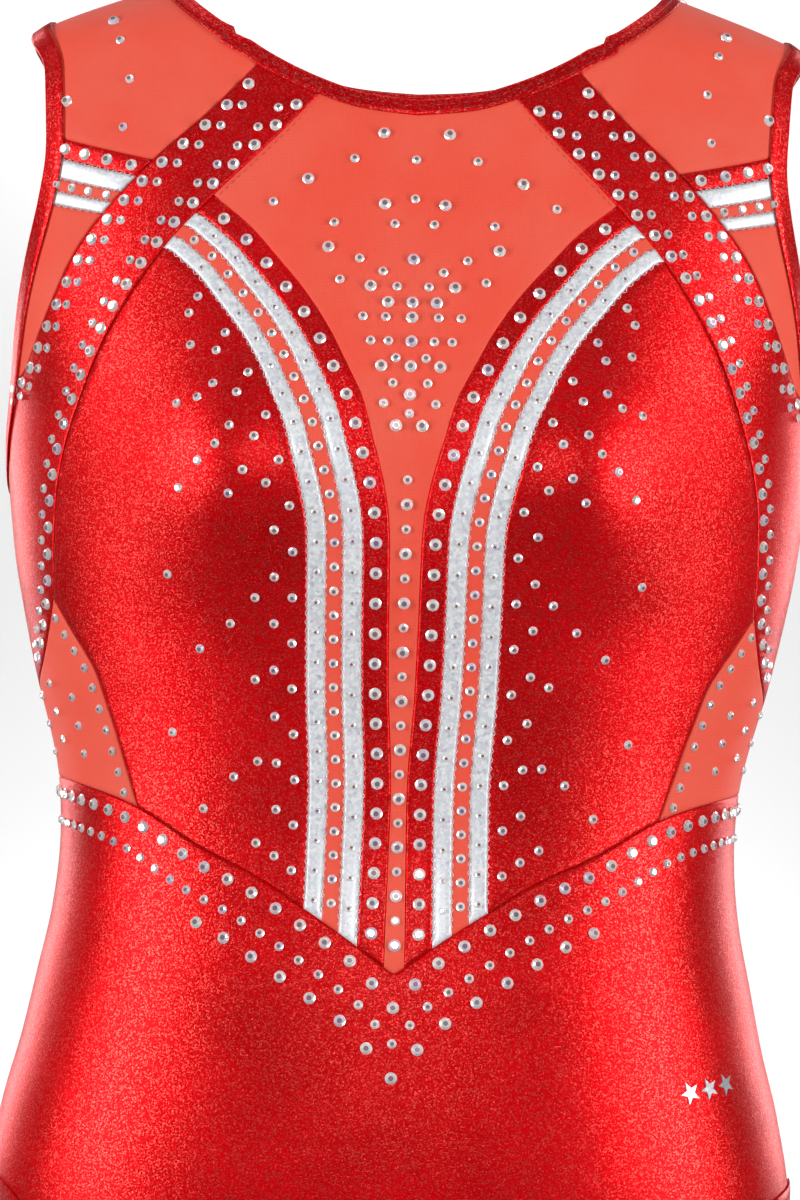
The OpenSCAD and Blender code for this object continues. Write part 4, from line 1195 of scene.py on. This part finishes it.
EDGE_GAP, ROW_GAP = 3.4, 4.4
strap_stones = rows_beside(part(strap_inner, 0, 0.9), [
    (EDGE_GAP, LARGE, 1, 0.03, 1, 0), (EDGE_GAP + ROW_GAP, SMALL, 1, 0.03, 0.97, 0.5)])
strap_stones += rows_beside(strap_outer, [
    (-EDGE_GAP, LARGE, 1, 0.04, 1, 0), (-EDGE_GAP - ROW_GAP, SMALL, 1, 0.05, 0.99, 0.5)])
strap_stones += rows_beside(part(back_inner, 0, 0.9), [(-EDGE_GAP, LARGE, 1, 0.03, 1, 0)])
strap_stones += rows_beside(back_outer, [(EDGE_GAP, LARGE, 1, 0.04, 1, 0)])
set_stones("strap_crystals", strap_stones)

set_stones("princess_crystals", stone_row(amid(edge_0, edge_1, 0.5), LARGE, 1.2, 0.012, 0.99))

stripe_stones = stone_row(amid(edge_1, edge_2, 0.5), TINY, 1.2, 0.02, 0.98)
stripe_stones += stone_row(amid(edge_2, edge_3, 0.5), SMALL, 0.96, 0.01, 0.985)
stripe_stones += stone_row(amid(edge_3, edge_4, 0.5), TINY, 1.2, 0.02, 0.98, 0.5)
set_stones("stripe_crystals", stripe_stones)

BAND_END = 0.88
band_stones = []
for i, size, pitch in ((0, LARGE, 1), (2, SMALL, 0.8)):
    (a, b), (c, d) = band_ends[i], band_ends[i + 1]
    middle = straight((mix(a[0], c[0], 0.5), mix(a[1], c[1], 0.5)),
                      (mix(b[0], d[0], 0.5), mix(b[1], d[1], 0.5)))
    band_stones += stone_row(middle, size, pitch, 0, BAND_END)
SHOULDER_STONES = [(44, 3.88), (57, 3.83), (48, 3.97), (55, 4.12), (44, 3.77)]
band_stones += [((a, level(t)), LARGE if i % 2 else SMALL)
                for i, (a, t) in enumerate(SHOULDER_STONES)]
set_stones("chest_band_crystals", band_stones)

# Rows of the yoke's fan: a level, then distances from the centre of large and of small stones
YOKE_FAN = [
    (3.764, [12.5], []), (3.705, [], [0, 23.5]), (3.657, [41], []), (3.617, [], [0]),
    (3.604, [11.5], [54]), (3.56, [], [7.5, 30.5]), (3.505, [32.5], []), (3.481, [0], [20.5]),
    (3.453, [], [11.5]), (3.433, [], [27.7]), (3.42, [16], [6]), (3.385, [0, 9.2], []),
    (3.352, [0], [10, 18.6]), (3.299, [0], [8.7, 15.4]), (3.262, [], [5.7]),
    (3.244, [0, 11.2], []), (3.207, [], [6.6]), (3.182, [0], []), (3.162, [], [9.9]),
    (3.141, [], [0]), (3.114, [5], [])]
fan_pairs, fan_middle = [], []
for t, large, small in YOKE_FAN:
    for size, row in ((LARGE, large), (SMALL, small)):
        for x in row:
            (fan_pairs if x else fan_middle).append(((angle_of(x, level(t)), level(t)), size))
tail = straight((0, level(3.05)), (0, level(1.76)), 60)
fan_middle += stone_row(tail, SMALL, 1.9) + stone_row(tail, LARGE, 1.9, phase=0.5)
set_stones("yoke_crystals", fan_pairs, middle=fan_middle)

# Stones scatter away from the outer stripe, closest together next to it and near the strap
BUST_COLUMNS = [
    (5.5, SMALL, 1.8, 0.05, 0.98, 0), (12.5, SMALL, 1.8, 0.05, 0.96, 0),
    (20, SMALL, 1.6, 0.08, 0.36, 0), (20, SMALL, 3.6, 0.42, 0.93, 0.3),
    (28, SMALL, 1.7, 0.1, 0.34, 0.5), (30, SMALL, 5, 0.42, 0.92, 0),
    (37, SMALL, 1.9, 0.12, 0.32, 0), (43, SMALL, 6, 0.36, 0.9, 0.3),
    (48, SMALL, 2.6, 0.14, 0.3, 0.5), (57, SMALL, 7, 0.3, 0.85, 0)]
set_stones("bust_crystals", rows_beside(edge_4, BUST_COLUMNS))

side_stones = stone_row(beside(side_front, 4.2), SMALL, 0.84, 0.03, 0.97)
side_stones += [((64 + 9 * i, level(2.25 + 0.075 * j + 0.035 * (i % 2))), SMALL)
                for i in range(3) for j in range(3)]
side_stones += [((180 - a, h), size) for (a, h), size in side_stones]
set_stones("side_crystals", side_stones)

# Rows below the waist seam: gap, size, pitch, end, and the drop of the stone on the centre line
WAIST_ROWS = [(6, LARGE, 1, 0.97, 12.5), (17, SMALL, 0.82, 0.97, 26), (26, LARGE, 1.14, 0.42, 39)]
waist_stones, point_stones = [], []
for gap, size, pitch, end, drop in WAIST_ROWS:
    point = (0, waist_seam[0][1] - drop)
    line = [point] + [p for p in beside(waist_seam, -gap) if p[0] > 5]
    waist_stones += stone_row(line, size, pitch, 0, end, 0.5)
    point_stones.append((point, size))
set_stones("waist_crystals", waist_stones, middle=point_stones)

# %% The hip motif
MOTIF_PLACES = [(50.5, 1.35), (55.5, 1.36), (60.5, 1.37)]
STAR_D, STAR_T, STAR_WAIST = 9, 0.4, 0.42


def star_motif():
    """A short row of plain five-pointed stars in silver foil."""
    bm = bmesh.new()
    for a, t in MOTIF_PLACES:
        star = bmesh.ops.create_circle(bm, cap_ends=True, segments=10, radius=STAR_D / 2 * MM)["verts"]
        for i, vert in enumerate(star):
            vert.co *= 1 if i % 2 == 0 else STAR_WAIST
        face = star[0].link_faces[0]
        grown = bmesh.ops.extrude_face_region(bm, geom=[face])["geom"]
        top = [g for g in grown if isinstance(g, bmesh.types.BMVert)]
        bmesh.ops.translate(bm, verts=top, vec=(0, 0, STAR_T * MM))
        point = (a, level(t))
        place = seat(point, (a, point[1] + 1), CLOTH_T)
        bmesh.ops.transform(bm, matrix=place, verts=star + top)
    bmesh.ops.recalc_face_normals(bm, faces=bm.faces)
    finish_piece("hip_motif_stars", bm, (silver_foil, "motif"), "hip_motif", smooth=False)


star_motif()

# %% [markdown]
# ## Flat cuts of the cloth
# Every panel is a flat cut that is stretched over the body, so its flat size is a little less than
# its worn size. Strips narrower than a centimetre go with the panel that they are sewn to.

# %% Flat cuts
STRETCH = 1.06
SHORTEST = 0.0101  # a sheet under 10 mm isn't taken; the under-bust elastic is 9.4 mm
LEAST_FILL, USUAL_FILL = 0.35, 0.6  # shares of its box that a bent panel's area takes up
SEWN_ON = {"front_body": ["inner_white_stripe", "coral_stripe", "outer_white_stripe"],
           "shoulder_mesh": ["chest_band_foil", "chest_band_white", "chest_band_coral"]}
WITH = {f"{stem}_{side}": [f"{name}_{side}" for name in names]
        for stem, names in SEWN_ON.items() for side in ("left", "right")}
narrow = {name for names in WITH.values() for name in names}
HEMS = {"centre_mesh": "neck", "back_shoulder_left": "armhole_left",
        "back_shoulder_right": "armhole_right", "front_brief": "leg_left", "back_brief": "leg_right"}
cuts = {}
for node, pieces in panels.items():
    if node in narrow:
        continue
    piece, area, width, length = pieces[0]
    width, length, area = width / STRETCH, max(length / STRETCH, SHORTEST), area / STRETCH**2
    width = max(width, area / length)
    if area < LEAST_FILL * width * length:
        width = area / (USUAL_FILL * length)
    extras = [p[0] for name in WITH.get(node, []) for p in panels[name]]
    extras += trims.get(HEMS.get(node, ""), [])
    if node in stitches:
        extras.append(stitches[node])
    cuts[node] = (round(width, 3), round(length, 3), round(area, 4))
print("flat cuts:", cuts)
